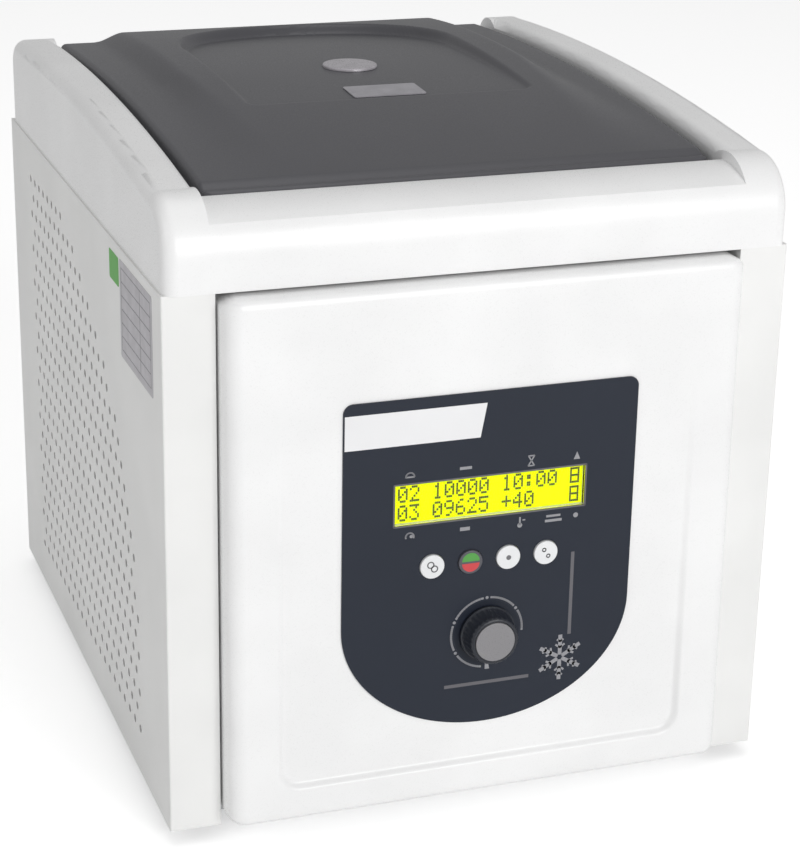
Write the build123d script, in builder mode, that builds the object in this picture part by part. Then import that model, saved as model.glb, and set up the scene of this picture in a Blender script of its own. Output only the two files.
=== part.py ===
import os
from math import ceil, cos, radians, sin, sqrt

from build123d import *

os.makedirs("parts", exist_ok=True)

# Refrigerated bench centrifuge for micro tubes, in millimetres.
# X runs across the front, Y from the front to the back, Z up from the bench.

# Casing
CASE_W = 320.0
CASE_D = 370.0
SIDE_H = 278.0
FOOT_H = 8.0
SHEET = 1.2
BASE_SHEET = 1.5
PILLAR_W = 25.8
RETURN_D = 20.0
BASE_FLANGE = 14.0
TOP_FLANGE = 12.0

# Perforated field in both side panels, a triangular pattern inside a quarter ellipse
HOLE_D = 4.5
HOLE_PITCH = 12.0
FIELD_FRONT = 56.0
FIELD_REAR = 314.0
FIELD_LOW = 26.4
ARCH_Y = 288.0
ARCH_Z = 64.0
ARCH_A = 230.0
ARCH_B = 198.0

# Front panel and what shows on it
FACE_PROUD = 12.8
FOOT_PROUD = 3.0
PANEL_GAP = 1.2
PANEL_LOW = 5.0
PANEL_TOP_GAP = 2.0
PANEL_ROUND = 9.0
PANEL_WALL = 3.0
FIELD_WALL = 6.0
FIELD_HALF = 107.0
FIELD_BOTTOM = 23.0
FIELD_FADE = 230.0
FIELD_ROUND = 10.0
OVERLAY_T = 0.8
OVERLAY_HALF = 76.2
OVERLAY_TOP = 221.5
OVERLAY_ROUND = 5.0
OVERLAY_ARC_Z = 104.0
OVERLAY_ARC_H = 60.0
LCD_W = 98.3
LCD_H = 19.9
LCD_Z = 166.95
LCD_GLASS = 2.6
BUTTON_D = 12.5
BUTTON_PITCH = 20.0
BUTTON_Z = 133.2
BUTTON_PROUD = 1.2
BUTTON_TRAVEL = 0.6
KNOB_Z = 93.5
KNOB_D = 29.0
KNOB_H = 12.4
CAP_D = 20.6
CAP_PROUD = 0.6
SHAFT_D = 6.0
BOARD_DEPTH = 16.0
BOARD_T = 1.6

# Moulded top cover
COVER_INSET = 1.0
COVER_NOSE = 2.0
MOULD = 3.0
RIM_R = 1788.0
RIM_PEAK = 331.8
RIM_PEAK_Y = 225.0
NOSE_Y = 27.0
NOSE_Z = 292.0
COVER_ROUND = 7.0
DECK_TOP = 298.0
TROUGH_TOP = 292.0
TROUGH_Y = 332.0
REAR_WALL_TOP = 297.0
OPENING_HALF = 136.0
SILL_Z = 315.6
SILL_MID = (12.0, 313.4)
SILL_NOSE = (-3.0, 306.0)
RIM_SOFT = 5.0

# Lid
LID_HALF = 131.0
LID_FRONT = 31.4
LID_REAR = 365.0
LID_BOTTOM = 302.0
LID_R = 1850.0
LID_PEAK = 327.8
LID_PEAK_Y = 228.0
LID_NOSE_Z = 313.0
PLATEAU_HALF = 100.0
PLATEAU_FRONT = 48.0
PLATEAU_STEP = 0.5
PLATEAU_CREST = (200.0, 335.5)
PLATEAU_TAIL_Z = 329.0
SUNK_R = 1190.0
SUNK_PEAK = 332.3
SUNK_PEAK_Y = 206.5
RECESS_HALF = 78.0
RECESS_FRONT = 140.0
RECESS_ARC_Y = 268.0
LINER_T = 2.5
HINGE_Y = 356.0
HINGE_Z = 312.0
HINGE_X = 85.0
HINGE_PIN_D = 5.0
EYE_R = 5.0
KNUCKLE_W = 16.0
EAR_T = 3.0

# Rotor chamber
CHAMBER_Y = 185.0
BOWL_R = 95.0
BOWL_FLOOR = 190.0
BOWL_WALL = 1.2
BOWL_FLANGE_R = 108.0
GASKET_H = 1.9
TUBE_D = 6.35
COIL_LOW = 202.0
COIL_PITCH = 14.0
COIL_TURNS = 6.1
FOAM_R = 118.0
DECK_PLATE_Z = 166.0

# Drive
MOTOR_R = 48.0
MOTOR_LOW = 50.0
MOTOR_TOP = 154.0
MOTOR_FLANGE_R = 62.0
NOSE_R = 20.0
NOSE_TOP = 184.0
AXLE_R = 5.0
BEARING_R = 13.0
BEARING_H = 8.0
MOUNT_R = 8.0
MOUNT_CIRCLE = 54.0

# Rotor with slanted wells
ROTOR_Z = 202.0
ROTOR_R = 70.0
ROTOR_H = 47.3
ROTOR_HUB_Z = 30.0
WELLS = 12
WELL_D = 11.2
WELL_CIRCLE = 40.0
WELL_TILT = 30.0
WELL_DEPTH = 36.0
NUT_R = 11.0
NUT_H = 14.0

# Cooling circuit
COMP_X = 20.0
COMP_Y = 300.0
COMP_R = 52.0
COMP_TOP = 150.0
COND_X = -142.0
COND_T = 22.0
COND_LOW = 75.0
COND_LEN = 180.0
COND_TOP = 134.0
FAN_Y = 165.0
FAN_Z = 72.0
FAN_R = 57.0

# Rear connections
INLET_X = -95.0
INLET_Z = 70.0
SPIGOT_X = -75.0
SPIGOT_Z = 150.0
SPIGOT_R = 4.0
SPIGOT_LEN = 14.0

# Clearances
GAP = 0.3
RUN = 0.04
SEE_GAP = 0.1
KNOB_GAP = 0.2

# Places worked out from the sizes above
KNOB_REACH = FACE_PROUD + OVERLAY_T + KNOB_GAP + KNOB_H
OVERALL_D = KNOB_REACH + CASE_D + SPIGOT_LEN
FRONT = -OVERALL_D / 2 + KNOB_REACH
REAR = FRONT + CASE_D
FLOOR = FOOT_H
SEAM = FLOOR + SIDE_H
IN_X = CASE_W / 2 - SHEET
FACE = FRONT - FACE_PROUD
SUB_Y = FRONT + 14.0
SUB_T = 1.5
PILLAR_X = CASE_W / 2 - PILLAR_W
PANEL_X = PILLAR_X - PANEL_GAP
PAN_TOP = FLOOR + BASE_SHEET
CY = FRONT + CHAMBER_Y


def save(part, name):
    """Label a finished piece and write its STEP file."""
    part.label = name
    export_step(part, f"parts/{name}.step")


def rim_z(depth):
    """Height of the cover's rim above the casing bottom at a depth behind the pillars."""
    return RIM_PEAK - RIM_R + sqrt(RIM_R**2 - (depth - RIM_PEAK_Y) ** 2)


def lid_z(depth):
    """Height of the lid's shoulders above the casing bottom at a depth."""
    return LID_PEAK - LID_R + sqrt(LID_R**2 - (depth - LID_PEAK_Y) ** 2)


def sunk_z(depth):
    """Height of the sunk panel's floor above the casing bottom at a depth."""
    return SUNK_PEAK - SUNK_R + sqrt(SUNK_R**2 - (depth - SUNK_PEAK_Y) ** 2)


def at(depth, height):
    """A point of a side view, from a depth behind the pillars and a height."""
    return (FRONT + depth, FLOOR + height)


# Perforated side panel, folded round the front as a pillar
def field_points():
    """Centres of the holes of the perforated field, in rows from the bottom up."""
    row_pitch = HOLE_PITCH * sqrt(3) / 2
    points = []
    for row in range(ceil((ARCH_Z + ARCH_B - FIELD_LOW) / row_pitch)):
        height = FIELD_LOW + row * row_pitch
        shift = HOLE_PITCH / 2 * (row % 2)
        for column in range(ceil((FIELD_REAR - FIELD_FRONT) / HOLE_PITCH)):
            depth = FIELD_REAR - shift - column * HOLE_PITCH
            rise = max(height - ARCH_Z, 0) / ARCH_B
            run = max(ARCH_Y - depth, 0) / ARCH_A
            if depth >= FIELD_FRONT and rise**2 + run**2 <= 1:
                points.append(at(depth, height))
    return points


def side_panel(side):
    """One side panel, on the left for side -1 and on the right for side 1."""
    with BuildPart() as panel:
        with BuildSketch(Plane.XY.offset(FLOOR)):
            with Locations((side * (CASE_W - SHEET) / 2, (FRONT + REAR) / 2)):
                Rectangle(SHEET, CASE_D)
            with Locations((side * (PILLAR_X + CASE_W / 2) / 2, FRONT + SHEET / 2)):
                Rectangle(PILLAR_W, SHEET)
            with Locations((side * (PILLAR_X + SHEET / 2), FRONT + RETURN_D / 2)):
                Rectangle(SHEET, RETURN_D)
        extrude(amount=SIDE_H)
        with BuildSketch(Plane.XY.offset(SEAM)):
            with Locations((side * (IN_X - TOP_FLANGE / 2), (FRONT + REAR) / 2)):
                Rectangle(TOP_FLANGE, CASE_D - 2 * SHEET)
        extrude(amount=-SHEET)
        upright = panel.edges().filter_by(Axis.Z)
        bend = upright.group_by(Axis.Y)[0].sort_by(Axis.X)[0 if side < 0 else -1]
        fillet(bend, SHEET * 0.8)
        with BuildSketch(Plane.YZ.offset(side * CASE_W / 2)):
            with Locations(field_points()):
                Circle(HOLE_D / 2)
        extrude(amount=-side * SHEET, mode=Mode.SUBTRACT)
    return panel.part


left_side_panel = side_panel(-1)
save(left_side_panel, "left_side_panel")
right_side_panel = side_panel(1)
save(right_side_panel, "right_side_panel")

# Base pan, a tray with an upturned edge, standing inside the side panels
PAN_FRONT = SUB_Y + SUB_T
PAN_REAR = REAR - SHEET
with BuildPart() as base_pan:
    with BuildSketch(Plane.XY.offset(FLOOR)):
        with Locations((0, (PAN_FRONT + PAN_REAR) / 2)):
            Rectangle(2 * IN_X, PAN_REAR - PAN_FRONT)
    extrude(amount=BASE_FLANGE)
    with BuildSketch(Plane.XY.offset(PAN_TOP)):
        with Locations((0, (PAN_FRONT + PAN_REAR) / 2)):
            Rectangle(2 * (IN_X - BASE_SHEET), PAN_REAR - PAN_FRONT - 2 * BASE_SHEET)
    extrude(amount=BASE_FLANGE, mode=Mode.SUBTRACT)
    with BuildSketch(Plane.XY.offset(FLOOR)):
        for side in (-1, 1):
            with Locations((side * (PILLAR_X + IN_X) / 2, PAN_FRONT + RETURN_D / 4)):
                Rectangle(IN_X - PILLAR_X, RETURN_D / 2)
    extrude(amount=BASE_FLANGE, mode=Mode.SUBTRACT)
    with BuildSketch(Plane.XY.offset(FLOOR)):
        with Locations((0, FRONT + 60.0)):
            with GridLocations(14, 0, 12, 1):
                SlotOverall(50, 4, rotation=90)
    extrude(amount=BASE_SHEET, mode=Mode.SUBTRACT)
save(base_pan.part, "base_pan")

# Four rubber feet under the base pan
FOOT_X = CASE_W / 2 - 35.0
FOOT_IN = 42.0
FOOT_R = 11.0
with BuildPart() as feet:
    for foot_y in (FRONT + FOOT_IN, REAR - FOOT_IN):
        for side in (-1, 1):
            with BuildSketch(Plane.XY.offset(FLOOR)):
                with Locations((side * FOOT_X, foot_y)):
                    Circle(FOOT_R)
            extrude(amount=-FOOT_H, taper=8)
save(feet.part, "feet")

# Sheet metal frame behind the front panel, folded back at the top and the sides
SUB_BEND = 12.0
with BuildPart() as front_subframe:
    with BuildSketch(Plane.XZ.offset(-SUB_Y)):
        with Locations((0, (FLOOR + SEAM) / 2)):
            Rectangle(2 * PILLAR_X, SIDE_H)
        with Locations((0, FLOOR + 138.0)):
            Rectangle(190, 150, mode=Mode.SUBTRACT)
    extrude(amount=-SUB_T)
    with BuildSketch(Plane.XY.offset(FLOOR + BASE_FLANGE + 1)):
        for side in (-1, 1):
            with Locations((side * (PILLAR_X - SUB_T / 2), SUB_Y + SUB_T + SUB_BEND / 2)):
                Rectangle(SUB_T, SUB_BEND)
    extrude(amount=SIDE_H - BASE_FLANGE - 1)
    with BuildSketch(Plane.XY.offset(SEAM)):
        with Locations((0, SUB_Y + SUB_T + SUB_BEND / 2)):
            Rectangle(2 * PILLAR_X, SUB_BEND)
    extrude(amount=-SUB_T)
save(front_subframe.part, "front_subframe")

# Rear panel with air slots and cut-outs for the connections
INLET_W = 27.0
INLET_H = 47.0
SCREW_R = 1.5
SCREW_HEAD_R = 3.2
SCREW_HEAD_H = 2.0
SCREW_X = IN_X - 8.0
SCREW_HEIGHTS = (9.0, 140.0, 262.0)
with BuildPart() as rear_panel:
    with BuildSketch(Plane.XZ.offset(-REAR)) as rear_face:
        with Locations((0, (FLOOR + SEAM) / 2)):
            Rectangle(2 * IN_X, SIDE_H)
        with Locations((COMP_X + 10, FLOOR + 90.0)):
            with GridLocations(44, 9, 4, 12):
                SlotOverall(36, 4, mode=Mode.SUBTRACT)
        with Locations((0, FLOOR + 225.0)):
            with GridLocations(44, 9, 5, 4):
                SlotOverall(36, 4, mode=Mode.SUBTRACT)
        with Locations((INLET_X, FLOOR + INLET_Z)):
            Rectangle(INLET_W + 2 * GAP, INLET_H + 2 * GAP, mode=Mode.SUBTRACT)
        with Locations((SPIGOT_X, FLOOR + SPIGOT_Z)):
            Circle(SPIGOT_R + GAP, mode=Mode.SUBTRACT)
        for height in SCREW_HEIGHTS:
            with Locations((-SCREW_X, FLOOR + height), (SCREW_X, FLOOR + height)):
                Circle(SCREW_R + 0.2, mode=Mode.SUBTRACT)
    extrude(amount=SHEET)
save(rear_panel.part, "rear_panel")

# Screws that hold the rear panel
with BuildPart() as case_screws:
    for height in SCREW_HEIGHTS:
        for side in (-1, 1):
            with BuildSketch(Plane.XZ.offset(-REAR)):
                with Locations((side * SCREW_X, FLOOR + height)):
                    Circle(SCREW_HEAD_R)
            extrude(amount=-SCREW_HEAD_H, taper=15)
            with BuildSketch(Plane.XZ.offset(-REAR)):
                with Locations((side * SCREW_X, FLOOR + height)):
                    Circle(SCREW_R)
            extrude(amount=SHEET)
save(case_screws.part, "case_screws")

# Moulded front panel, proud of the pillars, with a sunk field round the controls
PANEL_BASE = FLOOR + PANEL_LOW
PANEL_HEAD = SEAM - PANEL_TOP_GAP
BUTTON_XS = [(column - 1.5) * BUTTON_PITCH for column in range(4)]
WINDOW_GAP = 0.5
BUSH_R = 4.5
BOSS_R = 3.0
BOARD_Y = FACE + BOARD_DEPTH
BOSS_X = 66.0
BOSS_Z = (FLOOR + 84.0, FLOOR + 196.0)
PANEL_REAR = SUB_Y
WALL_BACK = FACE + FIELD_WALL
with BuildPart() as front_panel:
    with BuildSketch(Plane.YZ.offset(-PANEL_X)):
        with BuildLine():
            Polyline(
                (PANEL_REAR, PANEL_BASE), (FACE - FOOT_PROUD, PANEL_BASE),
                (FACE, FLOOR + FIELD_FADE), (FACE, PANEL_HEAD),
                (PANEL_REAR, PANEL_HEAD), close=True)
        make_face()
    extrude(amount=2 * PANEL_X)
    front_edges = front_panel.edges().filter_by_position(Axis.Y, FACE - FOOT_PROUD - 1, FACE + 0.1)
    fillet(front_edges.filter_by_position(Axis.X, -PANEL_X - 1, -PANEL_X + 0.1), PANEL_ROUND)
    front_edges = front_panel.edges().filter_by_position(Axis.Y, FACE - FOOT_PROUD - 1, FACE + 0.1)
    fillet(front_edges.filter_by_position(Axis.X, PANEL_X - 0.1, PANEL_X + 1), PANEL_ROUND)
    with BuildSketch(Plane.XZ.offset(-FACE)):
        with Locations((0, FLOOR + (FIELD_BOTTOM + SIDE_H) / 2)):
            RectangleRounded(2 * FIELD_HALF, SIDE_H - FIELD_BOTTOM, FIELD_ROUND)
    extrude(amount=FOOT_PROUD + PANEL_ROUND, mode=Mode.SUBTRACT)
    with BuildSketch(Plane.XZ.offset(-WALL_BACK)):
        with Locations((0, (PANEL_BASE + PANEL_HEAD) / 2)):
            Rectangle(2 * (PANEL_X - PANEL_WALL), PANEL_HEAD - PANEL_BASE - 2 * PANEL_WALL)
    extrude(amount=WALL_BACK - PANEL_REAR, mode=Mode.SUBTRACT)
    with BuildSketch(Plane.XZ.offset(-FACE)):
        with Locations((0, FLOOR + LCD_Z)):
            Rectangle(LCD_W + 2 * WINDOW_GAP, LCD_H + 2 * WINDOW_GAP)
        with Locations([(x, FLOOR + BUTTON_Z) for x in BUTTON_XS]):
            Circle(BUTTON_D / 2 + GAP)
        with Locations((0, FLOOR + KNOB_Z)):
            Circle(BUSH_R + RUN)
    extrude(amount=-FIELD_WALL, mode=Mode.SUBTRACT)
    with BuildSketch(Plane.XZ.offset(-WALL_BACK)):
        for boss_z in BOSS_Z:
            with Locations((-BOSS_X, boss_z), (BOSS_X, boss_z)):
                Circle(BOSS_R)
    extrude(amount=WALL_BACK - BOARD_Y)
save(front_panel.part, "front_panel")

# Control overlay, a printed foil with a straight top and a half ellipse below
OVERLAY_Y = FACE - OVERLAY_T
with BuildPart() as control_overlay:
    with BuildSketch(Plane.XZ.offset(-FACE)):
        with BuildLine():
            l1 = Line((-OVERLAY_HALF, FLOOR + OVERLAY_ARC_Z), (-OVERLAY_HALF, FLOOR + OVERLAY_TOP))
            l2 = Line(l1 @ 1, (OVERLAY_HALF, FLOOR + OVERLAY_TOP))
            l3 = Line(l2 @ 1, (OVERLAY_HALF, FLOOR + OVERLAY_ARC_Z))
            EllipticalCenterArc(
                (0, FLOOR + OVERLAY_ARC_Z), OVERLAY_HALF, OVERLAY_ARC_H,
                start_angle=180, arc_size=180)
        make_face()
        with Locations((0, FLOOR + LCD_Z)):
            Rectangle(LCD_W + 2 * WINDOW_GAP, LCD_H + 2 * WINDOW_GAP, mode=Mode.SUBTRACT)
        with Locations([(x, FLOOR + BUTTON_Z) for x in BUTTON_XS]):
            Circle(BUTTON_D / 2 + GAP, mode=Mode.SUBTRACT)
        with Locations((0, FLOOR + KNOB_Z)):
            Circle(BUSH_R + RUN, mode=Mode.SUBTRACT)
    extrude(amount=OVERLAY_T)
    top_corners = control_overlay.edges().filter_by(Axis.Y).group_by(Axis.Z)[-1]
    fillet(top_corners, OVERLAY_ROUND)
save(control_overlay.part, "control_overlay")

# Top cover, one moulding with an arched rim on both sides of a sunk deck for the lid
COVER_X = CASE_W / 2 - COVER_INSET
COVER_REAR = CASE_D - COVER_INSET
TAIL_Y = 352.0
LID_GAP = 1.2
WELL_FRONT = LID_FRONT - LID_GAP
MOUTH_R = BOWL_R + 1.0
STRIKER_Y = 48.0
TONGUE_W = 12.0
TONGUE_T = 3.0
SLOT_PLAY = 3.0


def cover_outline(plane_x, inset):
    """Side outline of the cover, drawn in by the wall for its inside."""
    nose_start = at(inset - COVER_NOSE, NOSE_Z)
    nose_end = at(NOSE_Y, rim_z(NOSE_Y) - inset)
    tail_start = at(TAIL_Y, rim_z(TAIL_Y) - inset)
    tail_end = at(COVER_REAR - inset, rim_z(TAIL_Y) - 14.0)
    tail_drop = 4.5 + 0.7 * inset
    with BuildSketch(Plane.YZ.offset(plane_x)) as outline:
        with BuildLine():
            Polyline(
                tail_end, at(COVER_REAR - inset, SIDE_H), at(inset - COVER_NOSE, SIDE_H), nose_start)
            ThreePointArc(
                nose_start, at(3.6 + 0.75 * inset, rim_z(NOSE_Y) - 10.2 - 0.6 * inset), nose_end)
            ThreePointArc(nose_end, at(RIM_PEAK_Y, RIM_PEAK - inset), tail_start)
            ThreePointArc(tail_start, at(COVER_REAR - tail_drop, rim_z(TAIL_Y) - tail_drop), tail_end)
        make_face()
    return outline.sketch


def lid_well(plane_x, inset):
    """Side outline of the space for the lid, with the wall round it when inset is not zero."""
    top = 2 * RIM_PEAK
    with BuildSketch(Plane.YZ.offset(plane_x)) as outline:
        with BuildLine():
            sill_nose = at(SILL_NOSE[0], SILL_NOSE[1] - inset)
            sill_end = at(WELL_FRONT - inset, SILL_Z - inset)
            ThreePointArc(sill_nose, at(SILL_MID[0], SILL_MID[1] - inset), sill_end)
            Polyline(
                sill_end, at(WELL_FRONT - inset, DECK_TOP - inset),
                at(TROUGH_Y - inset, DECK_TOP - inset), at(TROUGH_Y - inset, TROUGH_TOP - inset),
                at(COVER_REAR - MOULD, TROUGH_TOP - inset), at(COVER_REAR - MOULD, REAR_WALL_TOP),
                at(2 * CASE_D, REAR_WALL_TOP), at(2 * CASE_D, top), at(SILL_NOSE[0], top), sill_nose)
        make_face()
    return outline.sketch


WELL_X = OPENING_HALF + MOULD
with BuildPart() as under_deck:
    extrude(cover_outline(-WELL_X, MOULD), amount=2 * WELL_X)
    extrude(lid_well(-WELL_X, MOULD), amount=2 * WELL_X, mode=Mode.SUBTRACT)

with BuildPart() as top_cover:
    extrude(cover_outline(-COVER_X, 0), amount=2 * COVER_X)
    for cheek in (top_cover.faces().sort_by(Axis.X)[0], top_cover.faces().sort_by(Axis.X)[-1]):
        fillet(cheek.edges().filter_by_position(Axis.Z, SEAM + 0.1, 10 * SEAM), COVER_ROUND)
    extrude(lid_well(-OPENING_HALF, 0), amount=2 * OPENING_HALF, mode=Mode.SUBTRACT)
    for plane_x in (-OPENING_HALF, OPENING_HALF):
        rim_edge = top_cover.edges().filter_by_position(Axis.X, plane_x - 0.1, plane_x + 0.1)
        arch = rim_edge.filter_by(lambda e: e.center().Z > FLOOR + rim_z(RIM_PEAK_Y) - RIM_SOFT)
        fillet(arch.sort_by(SortBy.LENGTH)[-1], RIM_SOFT)
    for side in (-1, 1):
        tunnel = cover_outline(side * WELL_X, MOULD)
        extrude(tunnel, amount=side * (COVER_X - MOULD - WELL_X), mode=Mode.SUBTRACT)
    add(under_deck.part, mode=Mode.SUBTRACT)
    with BuildSketch(Plane.XY.offset(FLOOR + DECK_TOP)):
        with Locations((0, CY)):
            Circle(MOUTH_R)
        with Locations((0, FRONT + STRIKER_Y)):
            Rectangle(TONGUE_T + 2 * SLOT_PLAY, TONGUE_W + 2 * SLOT_PLAY)
    extrude(amount=-MOULD, mode=Mode.SUBTRACT)
save(top_cover.part, "top_cover")

# Lid shell, a moulding with low shoulders, a raised middle and a sunk panel in it
BEAD_Y = 5.0
BEAD_RISE = 3.4
LID_TAIL = 8.0
LID_WALL = MOULD
LID_ROOF = 4.5
CROWN_FRONT = 110.0
CROWN_REAR = 350.0
NOTCH_TOP = HINGE_Z + EYE_R + 0.8
NOTCH_HALF = KNUCKLE_W / 2 + GAP + EAR_T + 4.0


def shoulder(depth, drop=0.0):
    """A point on the shoulders of the lid in the side view."""
    return at(depth, lid_z(depth) - drop)


with BuildPart() as recess_form:
    with BuildSketch(Plane.XY.offset(FLOOR + LID_BOTTOM)) as recess_plan:
        with Locations((0, FRONT + (RECESS_FRONT + RECESS_ARC_Y) / 2)):
            Rectangle(2 * RECESS_HALF, RECESS_ARC_Y - RECESS_FRONT)
        with Locations((0, FRONT + RECESS_ARC_Y)):
            Circle(RECESS_HALF)
        fillet(recess_plan.vertices().group_by(Axis.Y)[0], 6)
    extrude(amount=2 * FOAM_R)
    with BuildSketch(Plane.YZ.offset(-RECESS_HALF)):
        with BuildLine():
            recess_start = at(RECESS_FRONT - 1, sunk_z(RECESS_FRONT - 1))
            recess_end = at(LID_REAR, sunk_z(LID_REAR))
            ThreePointArc(recess_start, at(SUNK_PEAK_Y, SUNK_PEAK), recess_end)
            Polyline(recess_start, at(RECESS_FRONT - 1, 2 * LID_PEAK), at(LID_REAR, 2 * LID_PEAK),
                     recess_end)
        make_face()
    extrude(amount=2 * RECESS_HALF, mode=Mode.INTERSECT)

with BuildPart() as lid_shell:
    with BuildSketch(Plane.YZ.offset(-LID_HALF)):
        with BuildLine():
            lip = at(LID_FRONT, LID_NOSE_Z)
            bead = shoulder(LID_FRONT + BEAD_Y)
            tail = shoulder(LID_REAR - LID_TAIL)
            heel = shoulder(LID_REAR, LID_TAIL)
            Polyline(heel, at(LID_REAR, LID_BOTTOM), at(LID_FRONT, LID_BOTTOM), lip)
            ThreePointArc(lip, at(LID_FRONT + 0.3 * BEAD_Y, LID_NOSE_Z + BEAD_RISE), bead)
            ThreePointArc(bead, at(LID_PEAK_Y, LID_PEAK), tail)
            ThreePointArc(tail, shoulder(LID_REAR - 0.3 * LID_TAIL, 0.25 * LID_TAIL), heel)
        make_face()
    extrude(amount=2 * LID_HALF)
    for cheek in (lid_shell.faces().sort_by(Axis.X)[0], lid_shell.faces().sort_by(Axis.X)[-1]):
        lid_edges = cheek.edges().filter_by_position(
            Axis.Z, FLOOR + LID_NOSE_Z - LID_TAIL, FLOOR + LID_PEAK + 1)
        fillet(lid_edges.filter_by(lambda e: e.center().Z > FLOOR + LID_NOSE_Z), 2)
    with BuildSketch(Plane.YZ.offset(-PLATEAU_HALF)):
        with BuildLine():
            rise = shoulder(PLATEAU_FRONT, -PLATEAU_STEP)
            plateau_tail = at(LID_REAR - LID_TAIL, PLATEAU_TAIL_Z)
            plateau_heel = shoulder(LID_REAR, LID_TAIL)
            ThreePointArc(rise, at(*PLATEAU_CREST), plateau_tail)
            ThreePointArc(plateau_tail, shoulder(LID_REAR - 0.3 * LID_TAIL, -0.1 * LID_TAIL),
                          plateau_heel)
            Polyline(plateau_heel, at(LID_REAR, LID_NOSE_Z - 4), at(PLATEAU_FRONT, LID_NOSE_Z - 4), rise)
        make_face()
    extrude(amount=2 * PLATEAU_HALF)
    add(recess_form.part, mode=Mode.SUBTRACT)
    with BuildSketch(Plane.YZ.offset(LID_WALL - LID_HALF)):
        with BuildLine():
            inner_front = shoulder(LID_FRONT + LID_WALL, LID_ROOF)
            inner_rear = shoulder(LID_REAR - LID_WALL, LID_ROOF)
            ThreePointArc(inner_front, at(LID_PEAK_Y, LID_PEAK - LID_ROOF), inner_rear)
            Polyline(inner_rear, at(LID_REAR - LID_WALL, 0), at(LID_FRONT + LID_WALL, 0), inner_front)
        make_face()
    extrude(amount=2 * (LID_HALF - LID_WALL), mode=Mode.SUBTRACT)
    with BuildSketch(Plane.YZ.offset(LID_WALL - PLATEAU_HALF)):
        with BuildLine():
            crown_front = at(CROWN_FRONT, sunk_z(CROWN_FRONT) - LID_WALL)
            crown_rear = at(CROWN_REAR, sunk_z(CROWN_REAR) - LID_WALL)
            ThreePointArc(crown_front, at(SUNK_PEAK_Y, SUNK_PEAK - LID_WALL), crown_rear)
            Polyline(crown_rear, at(CROWN_REAR, LID_BOTTOM), at(CROWN_FRONT, LID_BOTTOM), crown_front)
        make_face()
    extrude(amount=2 * (PLATEAU_HALF - LID_WALL), mode=Mode.SUBTRACT)
    with BuildSketch(Plane.XZ.offset(-FRONT - LID_REAR)):
        for side in (-1, 1):
            with Locations((side * HINGE_X, FLOOR + (LID_BOTTOM + NOTCH_TOP) / 2)):
                Rectangle(2 * NOTCH_HALF, NOTCH_TOP - LID_BOTTOM)
    extrude(amount=LID_WALL, mode=Mode.SUBTRACT)
save(lid_shell.part, "lid_shell")

# Flat liner that closes the lid from below
LINER_FRONT = LID_FRONT + LID_WALL + GAP
LINER_REAR = 335.0
LINER_HALF = LID_HALF - LID_WALL - GAP
LINER_TOP = LID_BOTTOM + LINER_T
with BuildPart() as lid_liner:
    with BuildSketch(Plane.XY.offset(FLOOR + LID_BOTTOM)):
        with Locations((0, FRONT + (LINER_FRONT + LINER_REAR) / 2)):
            RectangleRounded(2 * LINER_HALF, LINER_REAR - LINER_FRONT, 4)
    extrude(amount=LINER_T)
    with BuildSketch(Plane.XY.offset(FLOOR + LINER_TOP)):
        with Locations((0, CY)):
            Circle(BOWL_R - 10)
            Circle(BOWL_R - 12, mode=Mode.SUBTRACT)
    extrude(amount=LINER_T)
save(lid_liner.part, "lid_liner")

# Rubber seal under the liner and rubber gasket round the mouth of the bowl
SEAL_IN = BOWL_R + 2.0
SEAL_OUT = BOWL_R + 11.0
SEAL_LOW = DECK_TOP + GASKET_H + GAP
with BuildPart() as lid_seal:
    with BuildSketch(Plane.XY.offset(FLOOR + SEAL_LOW)):
        with Locations((0, CY)):
            Circle(SEAL_OUT)
            Circle(SEAL_IN, mode=Mode.SUBTRACT)
    extrude(amount=LID_BOTTOM - SEAL_LOW)
save(lid_seal.part, "lid_seal")

with BuildPart() as chamber_gasket:
    with BuildSketch(Plane.XY.offset(FLOOR + DECK_TOP)):
        with Locations((0, CY)):
            Circle(SEAL_OUT)
            Circle(SEAL_IN, mode=Mode.SUBTRACT)
    extrude(amount=GASKET_H)
    fillet(chamber_gasket.edges().group_by(Axis.Z)[-1], 0.6)
save(chamber_gasket.part, "chamber_gasket")

# Steel striker under the front of the lid
STRIKER_W = 24.0
STRIKER_T = 2.0
BOLT_R = 3.0
BOLT_Z = 284.0
TONGUE_LOW = BOLT_Z - 8.0
with BuildPart() as lid_striker:
    with BuildSketch(Plane.XY.offset(FLOOR + LID_BOTTOM)):
        with Locations((0, FRONT + STRIKER_Y)):
            Rectangle(STRIKER_W, TONGUE_W)
    extrude(amount=-STRIKER_T)
    with BuildSketch(Plane.XY.offset(FLOOR + LID_BOTTOM - STRIKER_T)):
        with Locations((0, FRONT + STRIKER_Y)):
            Rectangle(TONGUE_T, TONGUE_W)
    extrude(amount=TONGUE_LOW - LID_BOTTOM + STRIKER_T)
    with BuildSketch(Plane.YZ.offset(-TONGUE_T / 2)):
        with Locations(at(STRIKER_Y, BOLT_Z)):
            Circle(BOLT_R + 1)
    extrude(amount=TONGUE_T, mode=Mode.SUBTRACT)
save(lid_striker.part, "lid_striker")

# Round badge and small plate in the sunk panel of the lid, both left bare
BADGE_Y = 214.0
BADGE_R = 15.0
PLATE_Y = 155.0


def recess_plane(depth, lift):
    """Plane on the floor of the sunk panel, tilted with its arch."""
    slope = -(depth - SUNK_PEAK_Y) / SUNK_R
    return Plane(origin=(0, *at(depth, sunk_z(depth) + lift)), x_dir=(1, 0, 0), z_dir=(0, -slope, 1))


with BuildPart() as lid_badge:
    with BuildSketch(recess_plane(BADGE_Y, 0.1)):
        Circle(BADGE_R)
    extrude(amount=1.5)
    fillet(lid_badge.faces().sort_by(Axis.Z)[-1].edges(), 0.9)
save(lid_badge.part, "lid_badge")

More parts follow.
